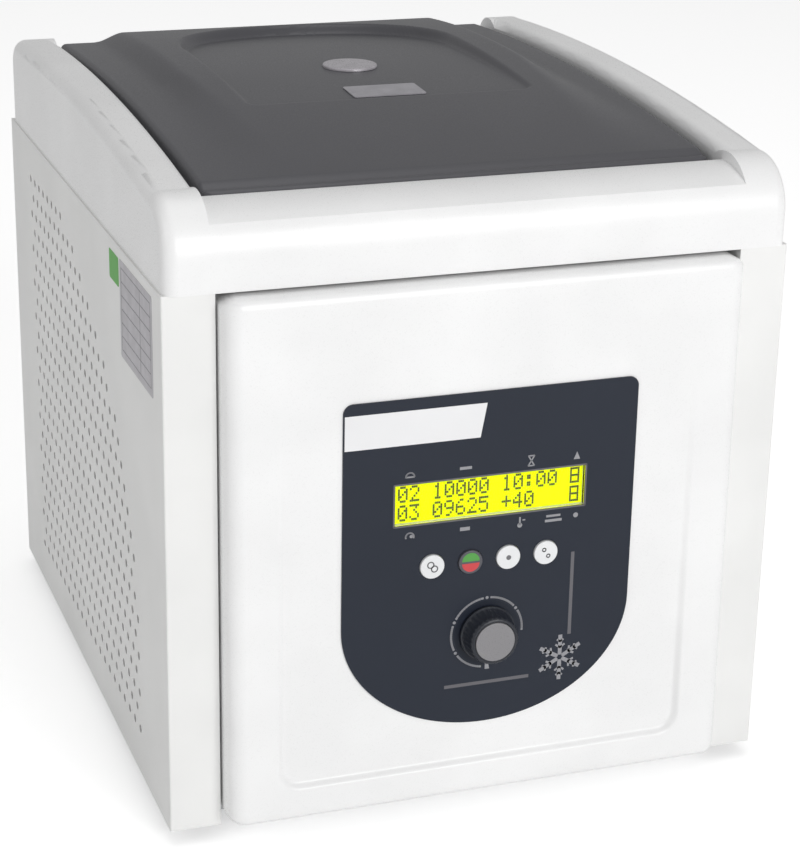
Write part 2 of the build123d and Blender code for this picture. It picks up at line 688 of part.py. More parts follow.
with BuildPart() as lid_plate:
    with BuildSketch(recess_plane(PLATE_Y, 0.1)):
        RectangleRounded(40, 21, 1.5)
    extrude(amount=0.6)
save(lid_plate.part, "lid_plate")

# Hinges: two brackets in the trough, a pin through each, and a leaf under the lid
PIN_R = HINGE_PIN_D / 2
EAR_X = KNUCKLE_W / 2 + GAP
PIN_HALF = EAR_X + EAR_T + 1.5
BRACKET_T = 2.0
with BuildPart() as hinge_brackets:
    for side in (-1, 1):
        with BuildSketch(Plane.XY.offset(FLOOR + TROUGH_TOP)):
            with Locations((side * HINGE_X, FRONT + HINGE_Y - 3)):
                Rectangle(2 * (EAR_X + EAR_T) + 10, 20)
        extrude(amount=BRACKET_T)
        for ear in (-1, 1):
            ear_face = side * HINGE_X + ear * EAR_X
            with BuildSketch(Plane.YZ.offset(ear_face)):
                with BuildLine():
                    Polyline(
                        at(HINGE_Y - EYE_R - 4, TROUGH_TOP), at(HINGE_Y + 4, TROUGH_TOP),
                        at(HINGE_Y + EYE_R, HINGE_Z), at(HINGE_Y - EYE_R, HINGE_Z), close=True)
                make_face()
                with Locations(at(HINGE_Y, HINGE_Z)):
                    Circle(EYE_R)
                    Circle(PIN_R, mode=Mode.SUBTRACT)
            extrude(amount=ear * EAR_T)
save(hinge_brackets.part, "hinge_brackets")

with BuildPart() as hinge_pins:
    for side in (-1, 1):
        with BuildSketch(Plane.YZ.offset(side * HINGE_X - PIN_HALF)):
            with Locations(at(HINGE_Y, HINGE_Z)):
                Circle(PIN_R)
        extrude(amount=2 * PIN_HALF)
save(hinge_pins.part, "hinge_pins")

LEAF_FRONT = HINGE_Y - 48.0
LEAF_T = 3.0
with BuildPart() as hinge_leaves:
    for side in (-1, 1):
        with BuildSketch(Plane.YZ.offset(side * HINGE_X - KNUCKLE_W / 2)):
            with BuildLine():
                Polyline(
                    at(HINGE_Y, HINGE_Z - EYE_R), at(LINER_REAR, LINER_TOP),
                    at(LEAF_FRONT, LINER_TOP), at(LEAF_FRONT, LINER_TOP + LEAF_T),
                    at(LINER_REAR - 8, LINER_TOP + LEAF_T), at(HINGE_Y, HINGE_Z + EYE_R), close=True)
            make_face()
            with Locations(at(HINGE_Y, HINGE_Z)):
                Circle(EYE_R)
                Circle(PIN_R + RUN, mode=Mode.SUBTRACT)
        extrude(amount=KNUCKLE_W)
save(hinge_leaves.part, "hinge_leaves")

# Lid lock: housing under the deck, a sliding bolt, and the solenoid that drives it
BOLT_TRAVEL = 8.0
LOCK_HALF = 14.0
LOCK_LOW = 266.0
DECK_UNDER = DECK_TOP - MOULD
SOLENOID_L = 34.0
BOLT_TIP = TONGUE_T / 2 + 1.7
with BuildPart() as latch_housing:
    with BuildSketch(Plane.XY.offset(FLOOR + DECK_UNDER)):
        with Locations((0, FRONT + STRIKER_Y)):
            Rectangle(2 * LOCK_HALF, TONGUE_W + 16)
    extrude(amount=LOCK_LOW - DECK_UNDER)
    with BuildSketch(Plane.XY.offset(FLOOR + DECK_UNDER)):
        with Locations((0, FRONT + STRIKER_Y)):
            Rectangle(TONGUE_T + SLOT_PLAY, TONGUE_W + 2 * SLOT_PLAY)
    extrude(amount=TONGUE_LOW - 4 - DECK_UNDER, mode=Mode.SUBTRACT)
    with BuildSketch(Plane.YZ.offset(LOCK_HALF)):
        with Locations(at(STRIKER_Y, BOLT_Z)):
            Circle(BOLT_R + RUN)
    extrude(amount=-LOCK_HALF - TONGUE_T - BOLT_TRAVEL, mode=Mode.SUBTRACT)
save(latch_housing.part, "latch_housing")

with BuildPart() as latch_solenoid:
    with BuildSketch(Plane.YZ.offset(LOCK_HALF)):
        with Locations(at(STRIKER_Y, BOLT_Z)):
            RectangleRounded(22, 20, 3)
            Circle(BOLT_R + RUN, mode=Mode.SUBTRACT)
    extrude(amount=SOLENOID_L)
save(latch_solenoid.part, "latch_solenoid")

with BuildPart() as latch_bolt:
    with BuildSketch(Plane.YZ.offset(BOLT_TIP)):
        with Locations(at(STRIKER_Y, BOLT_Z)):
            Circle(BOLT_R)
    extrude(amount=LOCK_HALF + SOLENOID_L - BOLT_TIP + 4)
    chamfer(latch_bolt.edges().group_by(Axis.X)[0], 0.8)
save(latch_bolt.part, "latch_bolt")

# Stainless bowl that forms the rotor chamber, hung by its flange under the deck
BOWL_OUT = BOWL_R + BOWL_WALL
BOWL_UNDER = BOWL_FLOOR - BASE_SHEET
BOWL_HOLE = NOSE_R + 4.0
BOWL_BEND = 12.0
FLANGE_LOW = DECK_UNDER - BASE_SHEET
DRAIN_R = 3.5
DRAIN_BORE = 2.5
with BuildPart() as chamber_bowl:
    with BuildSketch(Plane.XZ.offset(-CY)) as bowl_wall:
        with BuildLine():
            Polyline(
                (BOWL_HOLE, FLOOR + BOWL_UNDER), (BOWL_OUT, FLOOR + BOWL_UNDER),
                (BOWL_OUT, FLOOR + FLANGE_LOW), (BOWL_FLANGE_R, FLOOR + FLANGE_LOW),
                (BOWL_FLANGE_R, FLOOR + DECK_UNDER), (BOWL_R, FLOOR + DECK_UNDER),
                (BOWL_R, FLOOR + BOWL_FLOOR), (BOWL_HOLE, FLOOR + BOWL_FLOOR), close=True)
        make_face()
        corners = bowl_wall.vertices().filter_by_position(
            Axis.Y, FLOOR + BOWL_UNDER - 1, FLOOR + BOWL_FLOOR + 1).sort_by(Axis.X)[-2:]
        fillet(corners.sort_by(Axis.Y)[0], BOWL_BEND + BOWL_WALL)
        fillet(bowl_wall.vertices().filter_by_position(Axis.X, BOWL_R - 0.1, BOWL_R + 0.1)
               .sort_by(Axis.Y)[0], BOWL_BEND)
    revolve(axis=Axis((0, CY, 0), (0, 0, 1)))
    with BuildSketch(Plane.XY.offset(FLOOR + BOWL_FLOOR)):
        with Locations((SPIGOT_X, CY)):
            Circle(DRAIN_BORE)
    extrude(amount=-BASE_SHEET, mode=Mode.SUBTRACT)
save(chamber_bowl.part, "chamber_bowl")

# Evaporator, a copper tube wound round the bowl
COIL_R = BOWL_OUT + TUBE_D / 2 + 0.4
COIL_START = 72.0
with BuildPart() as evaporator_coil:
    coil_base = Plane(
        origin=(0, CY, FLOOR + COIL_LOW), z_dir=(0, 0, 1),
        x_dir=(cos(radians(COIL_START)), sin(radians(COIL_START)), 0))
    with BuildLine(coil_base) as winding:
        Helix(COIL_PITCH, COIL_PITCH * COIL_TURNS, COIL_R)
    with BuildSketch(Plane(origin=winding.line @ 0, z_dir=winding.line % 0)):
        Circle(TUBE_D / 2)
    sweep(is_frenet=True)
save(evaporator_coil.part, "evaporator_coil")

# Chassis plate on four folded legs, which carries the motor and the chamber
PLATE_HALF = FOAM_R + 4.0
PLATE_FRONT = 58.0
PLATE_REAR = 300.0
PLATE_T = BASE_SHEET
LEG_W = 24.0
LEG_FOOT = 14.0
LEG_DEPTHS = (PLATE_FRONT + 2 + LEG_W / 2, PLATE_REAR - 14 - LEG_W / 2)
PLATE_UP = DECK_PLATE_Z + PLATE_T
NOSE_HOLE = MOUNT_CIRCLE - MOUNT_R - 1
with BuildPart() as chassis_plate:
    with BuildSketch(Plane.XY.offset(FLOOR + DECK_PLATE_Z)):
        with Locations((0, FRONT + (PLATE_FRONT + PLATE_REAR) / 2)):
            Rectangle(2 * PLATE_HALF, PLATE_REAR - PLATE_FRONT)
        with Locations((0, CY)):
            Circle(NOSE_HOLE, mode=Mode.SUBTRACT)
        with Locations((SPIGOT_X, CY)):
            Circle(DRAIN_R + 1, mode=Mode.SUBTRACT)
    extrude(amount=PLATE_T)
    for depth in LEG_DEPTHS:
        for side in (-1, 1):
            with BuildSketch(Plane.XY.offset(PAN_TOP)):
                with Locations((side * (PLATE_HALF - PLATE_T / 2), FRONT + depth)):
                    Rectangle(PLATE_T, LEG_W)
            extrude(amount=DECK_PLATE_Z - BASE_SHEET)
            with BuildSketch(Plane.XY.offset(PAN_TOP)):
                with Locations((side * (PLATE_HALF - LEG_FOOT / 2), FRONT + depth)):
                    Rectangle(LEG_FOOT, LEG_W)
            extrude(amount=PLATE_T)
save(chassis_plate.part, "chassis_plate")

# Foam insulation round the bowl and its winding
FOAM_IN = COIL_R + TUBE_D / 2 + 0.6
LINE_R = TUBE_D / 2
COIL_TOP = COIL_LOW + COIL_PITCH * COIL_TURNS
COIL_END = COIL_START + 360 * COIL_TURNS
STUBS = ((COIL_START, COIL_LOW), (COIL_END, COIL_TOP))


def polar(radius, angle):
    """A point round the chamber's axis."""
    return (radius * cos(radians(angle)), CY + radius * sin(radians(angle)))


with BuildPart() as chamber_insulation:
    with BuildSketch(Plane.XZ.offset(-CY)):
        with BuildLine():
            Polyline(
                (NOSE_HOLE, FLOOR + PLATE_UP), (FOAM_R, FLOOR + PLATE_UP),
                (FOAM_R, FLOOR + FLANGE_LOW - GAP), (FOAM_IN, FLOOR + FLANGE_LOW - GAP),
                (FOAM_IN, FLOOR + BOWL_UNDER - GAP), (NOSE_HOLE, FLOOR + BOWL_UNDER - GAP), close=True)
        make_face()
    revolve(axis=Axis((0, CY, 0), (0, 0, 1)))
    with BuildSketch(Plane.XY.offset(FLOOR + PLATE_UP)):
        with Locations((SPIGOT_X, CY)):
            Circle(DRAIN_R + 0.4)
    extrude(amount=BOWL_UNDER - PLATE_UP, mode=Mode.SUBTRACT)
    for angle, height in STUBS:
        outward = (cos(radians(angle)), sin(radians(angle)), 0)
        with BuildSketch(Plane(origin=(*polar(COIL_R, angle), FLOOR + height), z_dir=outward)):
            Circle(LINE_R + 0.4)
        extrude(amount=FOAM_R, mode=Mode.SUBTRACT)
save(chamber_insulation.part, "chamber_insulation")

# Brushless motor hung from the chassis plate on rubber bushes
WALL_M = 3.0
STATOR_IN = 27.0
FLANGE_T = 6.0
BEARING_LOW = MOTOR_LOW + FLANGE_T
BEARING_UP = NOSE_TOP - BEARING_H - 2
motor_axis = Axis((0, CY, 0), (0, 0, 1))
with BuildPart() as motor_housing:
    with BuildSketch(Plane.XZ.offset(-CY)):
        with BuildLine():
            Polyline(
                (AXLE_R + 2, FLOOR + MOTOR_LOW), (MOTOR_R, FLOOR + MOTOR_LOW),
                (MOTOR_R, FLOOR + MOTOR_TOP - FLANGE_T), (MOTOR_FLANGE_R, FLOOR + MOTOR_TOP - FLANGE_T),
                (MOTOR_FLANGE_R, FLOOR + MOTOR_TOP), (NOSE_R, FLOOR + MOTOR_TOP),
                (NOSE_R, FLOOR + NOSE_TOP), (BEARING_R, FLOOR + NOSE_TOP),
                (BEARING_R, FLOOR + BEARING_UP), (AXLE_R + 2, FLOOR + BEARING_UP),
                (AXLE_R + 2, FLOOR + MOTOR_TOP - FLANGE_T), (MOTOR_R - WALL_M, FLOOR + MOTOR_TOP - FLANGE_T),
                (MOTOR_R - WALL_M, FLOOR + MOTOR_TOP - 22), (STATOR_IN, FLOOR + MOTOR_TOP - 22),
                (STATOR_IN, FLOOR + MOTOR_LOW + 28), (MOTOR_R - WALL_M, FLOOR + MOTOR_LOW + 28),
                (MOTOR_R - WALL_M, FLOOR + BEARING_LOW), (BEARING_R + WALL_M, FLOOR + BEARING_LOW),
                (BEARING_R + WALL_M, FLOOR + BEARING_LOW + BEARING_H),
                (BEARING_R, FLOOR + BEARING_LOW + BEARING_H), (BEARING_R, FLOOR + BEARING_LOW),
                (AXLE_R + 2, FLOOR + BEARING_LOW), close=True)
        make_face()
    revolve(axis=motor_axis)
save(motor_housing.part, "motor_housing")

with BuildPart() as motor_mounts:
    with BuildSketch(Plane.XY.offset(FLOOR + MOTOR_TOP)):
        with Locations((0, CY)):
            with PolarLocations(MOUNT_CIRCLE, 4, start_angle=45):
                Circle(MOUNT_R)
    extrude(amount=DECK_PLATE_Z - MOTOR_TOP)
save(motor_mounts.part, "motor_mounts")

with BuildPart() as motor_bearings:
    for height in (BEARING_LOW, BEARING_UP):
        with BuildSketch(Plane.XY.offset(FLOOR + height)):
            with Locations((0, CY)):
                Circle(BEARING_R - 0.02)
                Circle(AXLE_R + RUN, mode=Mode.SUBTRACT)
        extrude(amount=BEARING_H)
save(motor_bearings.part, "motor_bearings")

# Drive shaft with a collar on each bearing and a thread on top, and its magnet rotor
THREAD_R = 4.0
HUB_TOP = ROTOR_Z + ROTOR_HUB_Z
THREAD_TOP = HUB_TOP + NUT_H - 2.5
COLLAR_R = AXLE_R + 3.0
with BuildPart() as drive_shaft:
    with BuildSketch(Plane.XZ.offset(-CY)):
        with BuildLine():
            Polyline(
                (0, FLOOR + BEARING_LOW + 1), (AXLE_R, FLOOR + BEARING_LOW + 1),
                (AXLE_R, FLOOR + BEARING_LOW + BEARING_H + GAP),
                (COLLAR_R, FLOOR + BEARING_LOW + BEARING_H + GAP),
                (COLLAR_R, FLOOR + BEARING_LOW + BEARING_H + 4),
                (AXLE_R, FLOOR + BEARING_LOW + BEARING_H + 4), (AXLE_R, FLOOR + ROTOR_Z - 6),
                (COLLAR_R, FLOOR + ROTOR_Z - 4), (COLLAR_R, FLOOR + ROTOR_Z),
                (AXLE_R, FLOOR + ROTOR_Z), (AXLE_R, FLOOR + HUB_TOP - 0.5),
                (THREAD_R, FLOOR + HUB_TOP - 0.5), (THREAD_R, FLOOR + THREAD_TOP),
                (0, FLOOR + THREAD_TOP), close=True)
        make_face()
    revolve(axis=motor_axis)
save(drive_shaft.part, "drive_shaft")

ARMATURE_R = STATOR_IN - 1.0
with BuildPart() as motor_armature:
    with BuildSketch(Plane.XY.offset(FLOOR + MOTOR_LOW + 30)):
        with Locations((0, CY)):
            Circle(ARMATURE_R)
            Circle(AXLE_R + 0.01, mode=Mode.SUBTRACT)
    extrude(amount=MOTOR_TOP - MOTOR_LOW - 54)
save(motor_armature.part, "motor_armature")

# Fixed angle rotor, one aluminium turning with a ring of slanted wells
FACE_IN = ROTOR_HUB_Z
FACE_R = 30.0
RIM_IN = FACE_R + (ROTOR_H - FACE_IN) / sin(radians(WELL_TILT)) * cos(radians(WELL_TILT))
MOUTH_Z = FACE_IN + (WELL_CIRCLE - FACE_R) * sin(radians(WELL_TILT)) / cos(radians(WELL_TILT))
WELL_POINT = 8.0
with BuildPart() as rotor_body:
    with BuildSketch(Plane.XZ.offset(-CY)):
        with BuildLine():
            Polyline(
                (AXLE_R + 0.01, FLOOR + ROTOR_Z), (ROTOR_R - 8, FLOOR + ROTOR_Z),
                (ROTOR_R, FLOOR + ROTOR_Z + 8), (ROTOR_R, FLOOR + ROTOR_Z + ROTOR_H - 1.5),
                (ROTOR_R - 1.5, FLOOR + ROTOR_Z + ROTOR_H), (RIM_IN, FLOOR + ROTOR_Z + ROTOR_H),
                (FACE_R, FLOOR + ROTOR_Z + FACE_IN), (AXLE_R + 0.01, FLOOR + ROTOR_Z + FACE_IN),
                close=True)
        make_face()
    revolve(axis=motor_axis)
    for well in range(WELLS):
        turn = 360 / WELLS * well
        lean = sin(radians(WELL_TILT))
        down = (lean * cos(radians(turn)), lean * sin(radians(turn)), -cos(radians(WELL_TILT)))
        mouth = Vector(*polar(WELL_CIRCLE, turn), FLOOR + ROTOR_Z + MOUTH_Z)
        straight = WELL_DEPTH - WELL_POINT
        with BuildSketch(Plane(origin=mouth - Vector(*down) * WELL_D, z_dir=down)):
            Circle(WELL_D / 2)
        extrude(amount=WELL_D + straight, mode=Mode.SUBTRACT)
        with BuildSketch(Plane(origin=mouth + Vector(*down) * straight, z_dir=down)):
            Circle(WELL_D / 2)
        extrude(amount=WELL_POINT, taper=14, mode=Mode.SUBTRACT)
save(rotor_body.part, "rotor_body")

# Hand nut that clamps the rotor
with BuildPart() as rotor_nut:
    with BuildSketch(Plane.XY.offset(FLOOR + HUB_TOP + GAP)):
        with Locations((0, CY)):
            Circle(NUT_R)
            with PolarLocations(NUT_R + 0.8, 12):
                Circle(1.8, mode=Mode.SUBTRACT)
    extrude(amount=NUT_H)
    chamfer(rotor_nut.faces().sort_by(Axis.Z)[-1].edges(), 0.6)
    with BuildSketch(Plane.XY.offset(FLOOR + HUB_TOP + GAP)):
        with Locations((0, CY)):
            Circle(THREAD_R + RUN)
    extrude(amount=NUT_H - 2, mode=Mode.SUBTRACT)
save(rotor_nut.part, "rotor_nut")

# Drain tube from the bowl to a hose spigot on the rear panel
SPIGOT_IN = REAR - 10.0
DRAIN_BEND = 20.0
with BuildPart() as drain_tube:
    with BuildLine() as drain_route:
        FilletPolyline(
            (SPIGOT_X, CY, FLOOR + BOWL_UNDER), (SPIGOT_X, CY, FLOOR + SPIGOT_Z),
            (SPIGOT_X, SPIGOT_IN, FLOOR + SPIGOT_Z), radius=DRAIN_BEND)
    with BuildSketch(Plane(origin=drain_route.line @ 0, z_dir=drain_route.line % 0)):
        Circle(DRAIN_R)
        Circle(DRAIN_BORE, mode=Mode.SUBTRACT)
    sweep()
save(drain_tube.part, "drain_tube")

with BuildPart() as drain_spigot:
    with BuildSketch(Plane.XZ.offset(-SPIGOT_IN)):
        with Locations((SPIGOT_X, FLOOR + SPIGOT_Z)):
            Circle(SPIGOT_R)
    extrude(amount=SPIGOT_IN - REAR - SPIGOT_LEN)
    with BuildSketch(Plane.XZ.offset(-REAR)):
        with Locations((SPIGOT_X, FLOOR + SPIGOT_Z)):
            Circle(SPIGOT_R + 4)
    extrude(amount=-2)
    with BuildSketch(Plane.XZ.offset(-SPIGOT_IN)):
        with Locations((SPIGOT_X, FLOOR + SPIGOT_Z)):
            Circle(DRAIN_BORE)
    extrude(amount=SPIGOT_IN - REAR - SPIGOT_LEN, mode=Mode.SUBTRACT)
save(drain_spigot.part, "drain_spigot")

# Compressor with a base plate, on four rubber bushes
COMP_BASE = 11.5
COMP_PLATE = 2.5
COMP_FEET = (100.0, 80.0)
comp_xy = (COMP_X, FRONT + COMP_Y)
with BuildPart() as compressor:
    with BuildSketch(Plane.XZ.offset(-comp_xy[1])):
        with BuildLine():
            low = FLOOR + COMP_BASE + COMP_PLATE
            Polyline(
                (COMP_X, low), (COMP_X + COMP_R - 3, low), (COMP_X + COMP_R, low + 6),
                (COMP_X + COMP_R, low + 62), (COMP_X + COMP_R + 2, low + 62),
                (COMP_X + COMP_R + 2, low + 66), (COMP_X + COMP_R, low + 66),
                (COMP_X + COMP_R, FLOOR + COMP_TOP - 28), (COMP_X + COMP_R - 6, FLOOR + COMP_TOP - 10),
                (COMP_X + COMP_R - 20, FLOOR + COMP_TOP), (COMP_X, FLOOR + COMP_TOP), close=True)
        make_face()
    revolve(axis=Axis((*comp_xy, 0), (0, 0, 1)))
    with BuildSketch(Plane.XY.offset(FLOOR + COMP_BASE)):
        with Locations(comp_xy):
            RectangleRounded(COMP_FEET[0] + 20, COMP_FEET[1] + 20, 8)
    extrude(amount=COMP_PLATE)
    with BuildSketch(Plane.YZ.offset(COMP_X + COMP_R - 2)):
        with Locations((comp_xy[1], low + 35)):
            Rectangle(40, 34)
    extrude(amount=16)
save(compressor.part, "compressor")

with BuildPart() as compressor_mounts:
    with BuildSketch(Plane.XY.offset(PAN_TOP)):
        with Locations(comp_xy):
            with GridLocations(*COMP_FEET, 2, 2):
                Circle(9)
    extrude(amount=COMP_BASE - BASE_SHEET)
save(compressor_mounts.part, "compressor_mounts")

# Condenser of upright fins on straight copper tubes
FIN_T = 0.8
FIN_PITCH = 6.0
FINS = int(COND_LEN / FIN_PITCH) - 1
COND_MID = FRONT + COND_LOW + COND_LEN / 2
cond_low_z = PAN_TOP
cond_h = COND_TOP - BASE_SHEET
with BuildPart() as condenser:
    with BuildSketch(Plane.XZ.offset(-COND_MID + COND_LEN / 2)):
        with Locations((COND_X, cond_low_z + cond_h / 2)):
            with GridLocations(COND_T / 2, cond_h / 5, 2, 5):
                Circle(LINE_R)
    extrude(amount=-COND_LEN)
    with Locations((COND_X, COND_MID, cond_low_z + cond_h / 2)):
        with GridLocations(0, FIN_PITCH, 1, FINS):
            Box(COND_T, FIN_T, cond_h - 8)
        with GridLocations(0, COND_LEN - 2 * FIN_T, 1, 2):
            Box(COND_T, 2 * FIN_T, cond_h)
save(condenser.part, "condenser")

# Fan shroud with its motor on four struts
SHROUD_X = COND_X + COND_T / 2 + GAP
SHROUD_L = 24.0
SHROUD_T = 2.0
DUCT_R = FAN_R + 3.0
HUB_R = 20.0
fan_y = FRONT + FAN_Y
fan_z = FLOOR + FAN_Z
SHROUD_HALF = FAN_Z - BASE_SHEET
FAN_SHAFT_R = 2.0
with BuildPart() as fan_shroud:
    with BuildSketch(Plane.YZ.offset(SHROUD_X)):
        with Locations((fan_y, fan_z)):
            Rectangle(2 * DUCT_R + 14, 2 * SHROUD_HALF)
            Circle(DUCT_R, mode=Mode.SUBTRACT)
    extrude(amount=SHROUD_T)
    with BuildSketch(Plane.YZ.offset(SHROUD_X)):
        with Locations((fan_y, fan_z)):
            Circle(DUCT_R + SHROUD_T)
            Circle(DUCT_R, mode=Mode.SUBTRACT)
    extrude(amount=SHROUD_L)
    with BuildSketch(Plane.YZ.offset(SHROUD_X + SHROUD_L)):
        with Locations((fan_y, fan_z)):
            Rectangle(2 * DUCT_R + 2, 6)
            Rectangle(6, 2 * DUCT_R + 2)
            Circle(HUB_R - 2)
    extrude(amount=-SHROUD_T)
    with BuildSketch(Plane.YZ.offset(SHROUD_X + SHROUD_L)):
        with Locations((fan_y, fan_z)):
            Circle(HUB_R - 2)
    extrude(amount=8)
    with BuildSketch(Plane.YZ.offset(SHROUD_X + SHROUD_L - SHROUD_T)):
        with Locations((fan_y, fan_z)):
            Circle(FAN_SHAFT_R + RUN)
    extrude(amount=8, mode=Mode.SUBTRACT)
save(fan_shroud.part, "fan_shroud")

BLADES = 5
BLADE_W = 17.0
BLADE_T = 1.6
BLADE_PITCH = 35.0
FAN_L = 14.0
FAN_X = SHROUD_X + SHROUD_L - SHROUD_T - 1.0 - FAN_L
with BuildPart() as fan_blades:
    with BuildSketch(Plane.YZ.offset(FAN_X)):
        with Locations((fan_y, fan_z)):
            Circle(HUB_R)
    extrude(amount=FAN_L)
    fillet(fan_blades.edges().group_by(Axis.X)[0], 2)
    with BuildSketch(Plane.YZ.offset(FAN_X + FAN_L)):
        with Locations((fan_y, fan_z)):
            Circle(FAN_SHAFT_R)
    extrude(amount=7)
    for blade in range(BLADES):
        turn = radians(360 / BLADES * blade)
        outward = Vector(0, cos(turn), sin(turn))
        root = Vector(FAN_X + FAN_L / 2, fan_y, fan_z) + outward * (HUB_R - 2)
        along = Vector(1, 0, 0).rotate(Axis((0, 0, 0), tuple(outward)), BLADE_PITCH)
        with BuildSketch(Plane(origin=root, x_dir=along, z_dir=outward)):
            Rectangle(BLADE_W, BLADE_T)
        extrude(amount=FAN_R - HUB_R)
save(fan_blades.part, "fan_blades")

# Filter dryer in the liquid line, on a clamp strip from the base pan
DRYER_XY = (104.0, FRONT + 312.0)
DRYER_R = 9.5
DRYER_LOW = 40.0
DRYER_TOP = 110.0
with BuildPart() as filter_dryer:
    with BuildSketch(Plane.XZ.offset(-DRYER_XY[1])):
        with BuildLine():
            x = DRYER_XY[0]
            Polyline(
                (x, FLOOR + DRYER_LOW), (x + LINE_R + 1, FLOOR + DRYER_LOW),
                (x + DRYER_R, FLOOR + DRYER_LOW + 8), (x + DRYER_R, FLOOR + DRYER_TOP - 8),
                (x + LINE_R + 1, FLOOR + DRYER_TOP), (x, FLOOR + DRYER_TOP), close=True)
        make_face()
    revolve(axis=Axis((*DRYER_XY, 0), (0, 0, 1)))
    with BuildSketch(Plane.XY.offset(PAN_TOP)):
        with Locations((DRYER_XY[0] + DRYER_R, DRYER_XY[1])):
            Rectangle(2, 12)
    extrude(amount=DRYER_TOP - 20)
    with BuildSketch(Plane.XY.offset(PAN_TOP)):
        with Locations((DRYER_XY[0] + DRYER_R + 6, DRYER_XY[1])):
            Rectangle(14, 12)
    extrude(amount=2)
save(filter_dryer.part, "filter_dryer")

# Copper lines of the cooling circuit
RISER = FOAM_R + 16.0
BEND = 9.0
LINE_Y = REAR - 10.0
cond_tail = COND_MID + COND_LEN / 2
tube_column = COND_X - COND_T / 4
tube_low = cond_low_z + cond_h / 10
tube_high = cond_low_z + cond_h * 9 / 10
stub_in = COIL_R + LINE_R + GAP
discharge_z = FLOOR + COMP_BASE + COMP_PLATE + 84
routes = (
    ((*polar(stub_in, COIL_END), FLOOR + COIL_TOP), (*polar(RISER, COIL_END), FLOOR + COIL_TOP),
     (*polar(RISER, COIL_END), FLOOR + COMP_TOP + 12), (COMP_X - 20, comp_xy[1], FLOOR + COMP_TOP + 12),
     (COMP_X - 20, comp_xy[1], FLOOR + COMP_TOP)),
    ((*polar(stub_in, COIL_START), FLOOR + COIL_LOW), (*polar(RISER, COIL_START), FLOOR + COIL_LOW),
     (*polar(RISER, COIL_START), FLOOR + COMP_TOP + 14), (*DRYER_XY, FLOOR + COMP_TOP + 14),
     (*DRYER_XY, FLOOR + DRYER_TOP)),
    ((COMP_X - COMP_R, comp_xy[1], discharge_z), (-95, comp_xy[1], discharge_z),
     (tube_column, comp_xy[1], tube_high), (tube_column, cond_tail, tube_high)),
    ((tube_column, cond_tail, tube_low), (tube_column, LINE_Y, tube_low),
     (DRYER_XY[0], LINE_Y, tube_low), (*DRYER_XY, tube_low),
     (*DRYER_XY, FLOOR + DRYER_LOW)),
)
with BuildPart() as refrigerant_lines:
    for points in routes:
        with BuildLine() as route:
            FilletPolyline(*points, radius=BEND)
        with BuildSketch(Plane(origin=route.line @ 0, z_dir=route.line % 0)):
            Circle(LINE_R)
        sweep()
save(refrigerant_lines.part, "refrigerant_lines")

# Display board behind the front panel, with a tall switch behind each button
BOARD_HALF = 74.0
BOARD_LOW = 76.0
BOARD_HIGH = 206.0
CAP_FLANGE = 1.0
SWITCH_W = 6.0
switch_tip = WALL_BACK + SEE_GAP + CAP_FLANGE + BUTTON_TRAVEL + 0.2
with BuildPart() as display_board:
    with BuildSketch(Plane.XZ.offset(-BOARD_Y)):
        with Locations((0, FLOOR + (BOARD_LOW + BOARD_HIGH) / 2)):
            Rectangle(2 * BOARD_HALF, BOARD_HIGH - BOARD_LOW)
    extrude(amount=-BOARD_T)
    with BuildSketch(Plane.XZ.offset(-BOARD_Y)):
        with Locations([(x, FLOOR + BUTTON_Z) for x in BUTTON_XS]):
            Rectangle(SWITCH_W, SWITCH_W)
    extrude(amount=BOARD_Y - switch_tip)
save(display_board.part, "display_board")

# Four round buttons, each a cap with a flange behind the front panel
for number, x in enumerate(BUTTON_XS, start=1):
    with BuildPart() as button:
        with BuildSketch(Plane.XZ.offset(BUTTON_PROUD - OVERLAY_Y)):
            with Locations((x, FLOOR + BUTTON_Z)):
                Circle(BUTTON_D / 2)
        extrude(amount=OVERLAY_Y - BUTTON_PROUD - WALL_BACK - SEE_GAP)
        fillet(button.edges().sort_by(Axis.Y)[0], 0.5)
        with BuildSketch(Plane.XZ.offset(-WALL_BACK - SEE_GAP)):
            with Locations((x, FLOOR + BUTTON_Z)):
                Circle(BUTTON_D / 2 + 1.2)
        extrude(amount=-CAP_FLANGE)
    save(button.part, f"button_{number}")

# Character display: a clear window, and the module with its lit block behind it
window_y = OVERLAY_Y + SEE_GAP
with BuildPart() as lcd_window:
    with BuildSketch(Plane.XZ.offset(-window_y)):
        with Locations((0, FLOOR + LCD_Z)):
            Rectangle(LCD_W + 2 * (WINDOW_GAP - SEE_GAP), LCD_H + 2 * (WINDOW_GAP - SEE_GAP))
    extrude(amount=-LCD_GLASS)
save(lcd_window.part, "lcd_window")

MODULE_W = 116.0
MODULE_H = 30.0
with BuildPart() as lcd_module:
    with BuildSketch(Plane.XZ.offset(-WALL_BACK)):
        with Locations((0, FLOOR + LCD_Z)):
            Rectangle(MODULE_W, MODULE_H)
    extrude(amount=WALL_BACK - BOARD_Y)
    with BuildSketch(Plane.XZ.offset(-WALL_BACK)):
        with Locations((0, FLOOR + LCD_Z)):
            Rectangle(LCD_W, LCD_H)
    extrude(amount=WALL_BACK - window_y - LCD_GLASS - SEE_GAP)
save(lcd_module.part, "lcd_module")

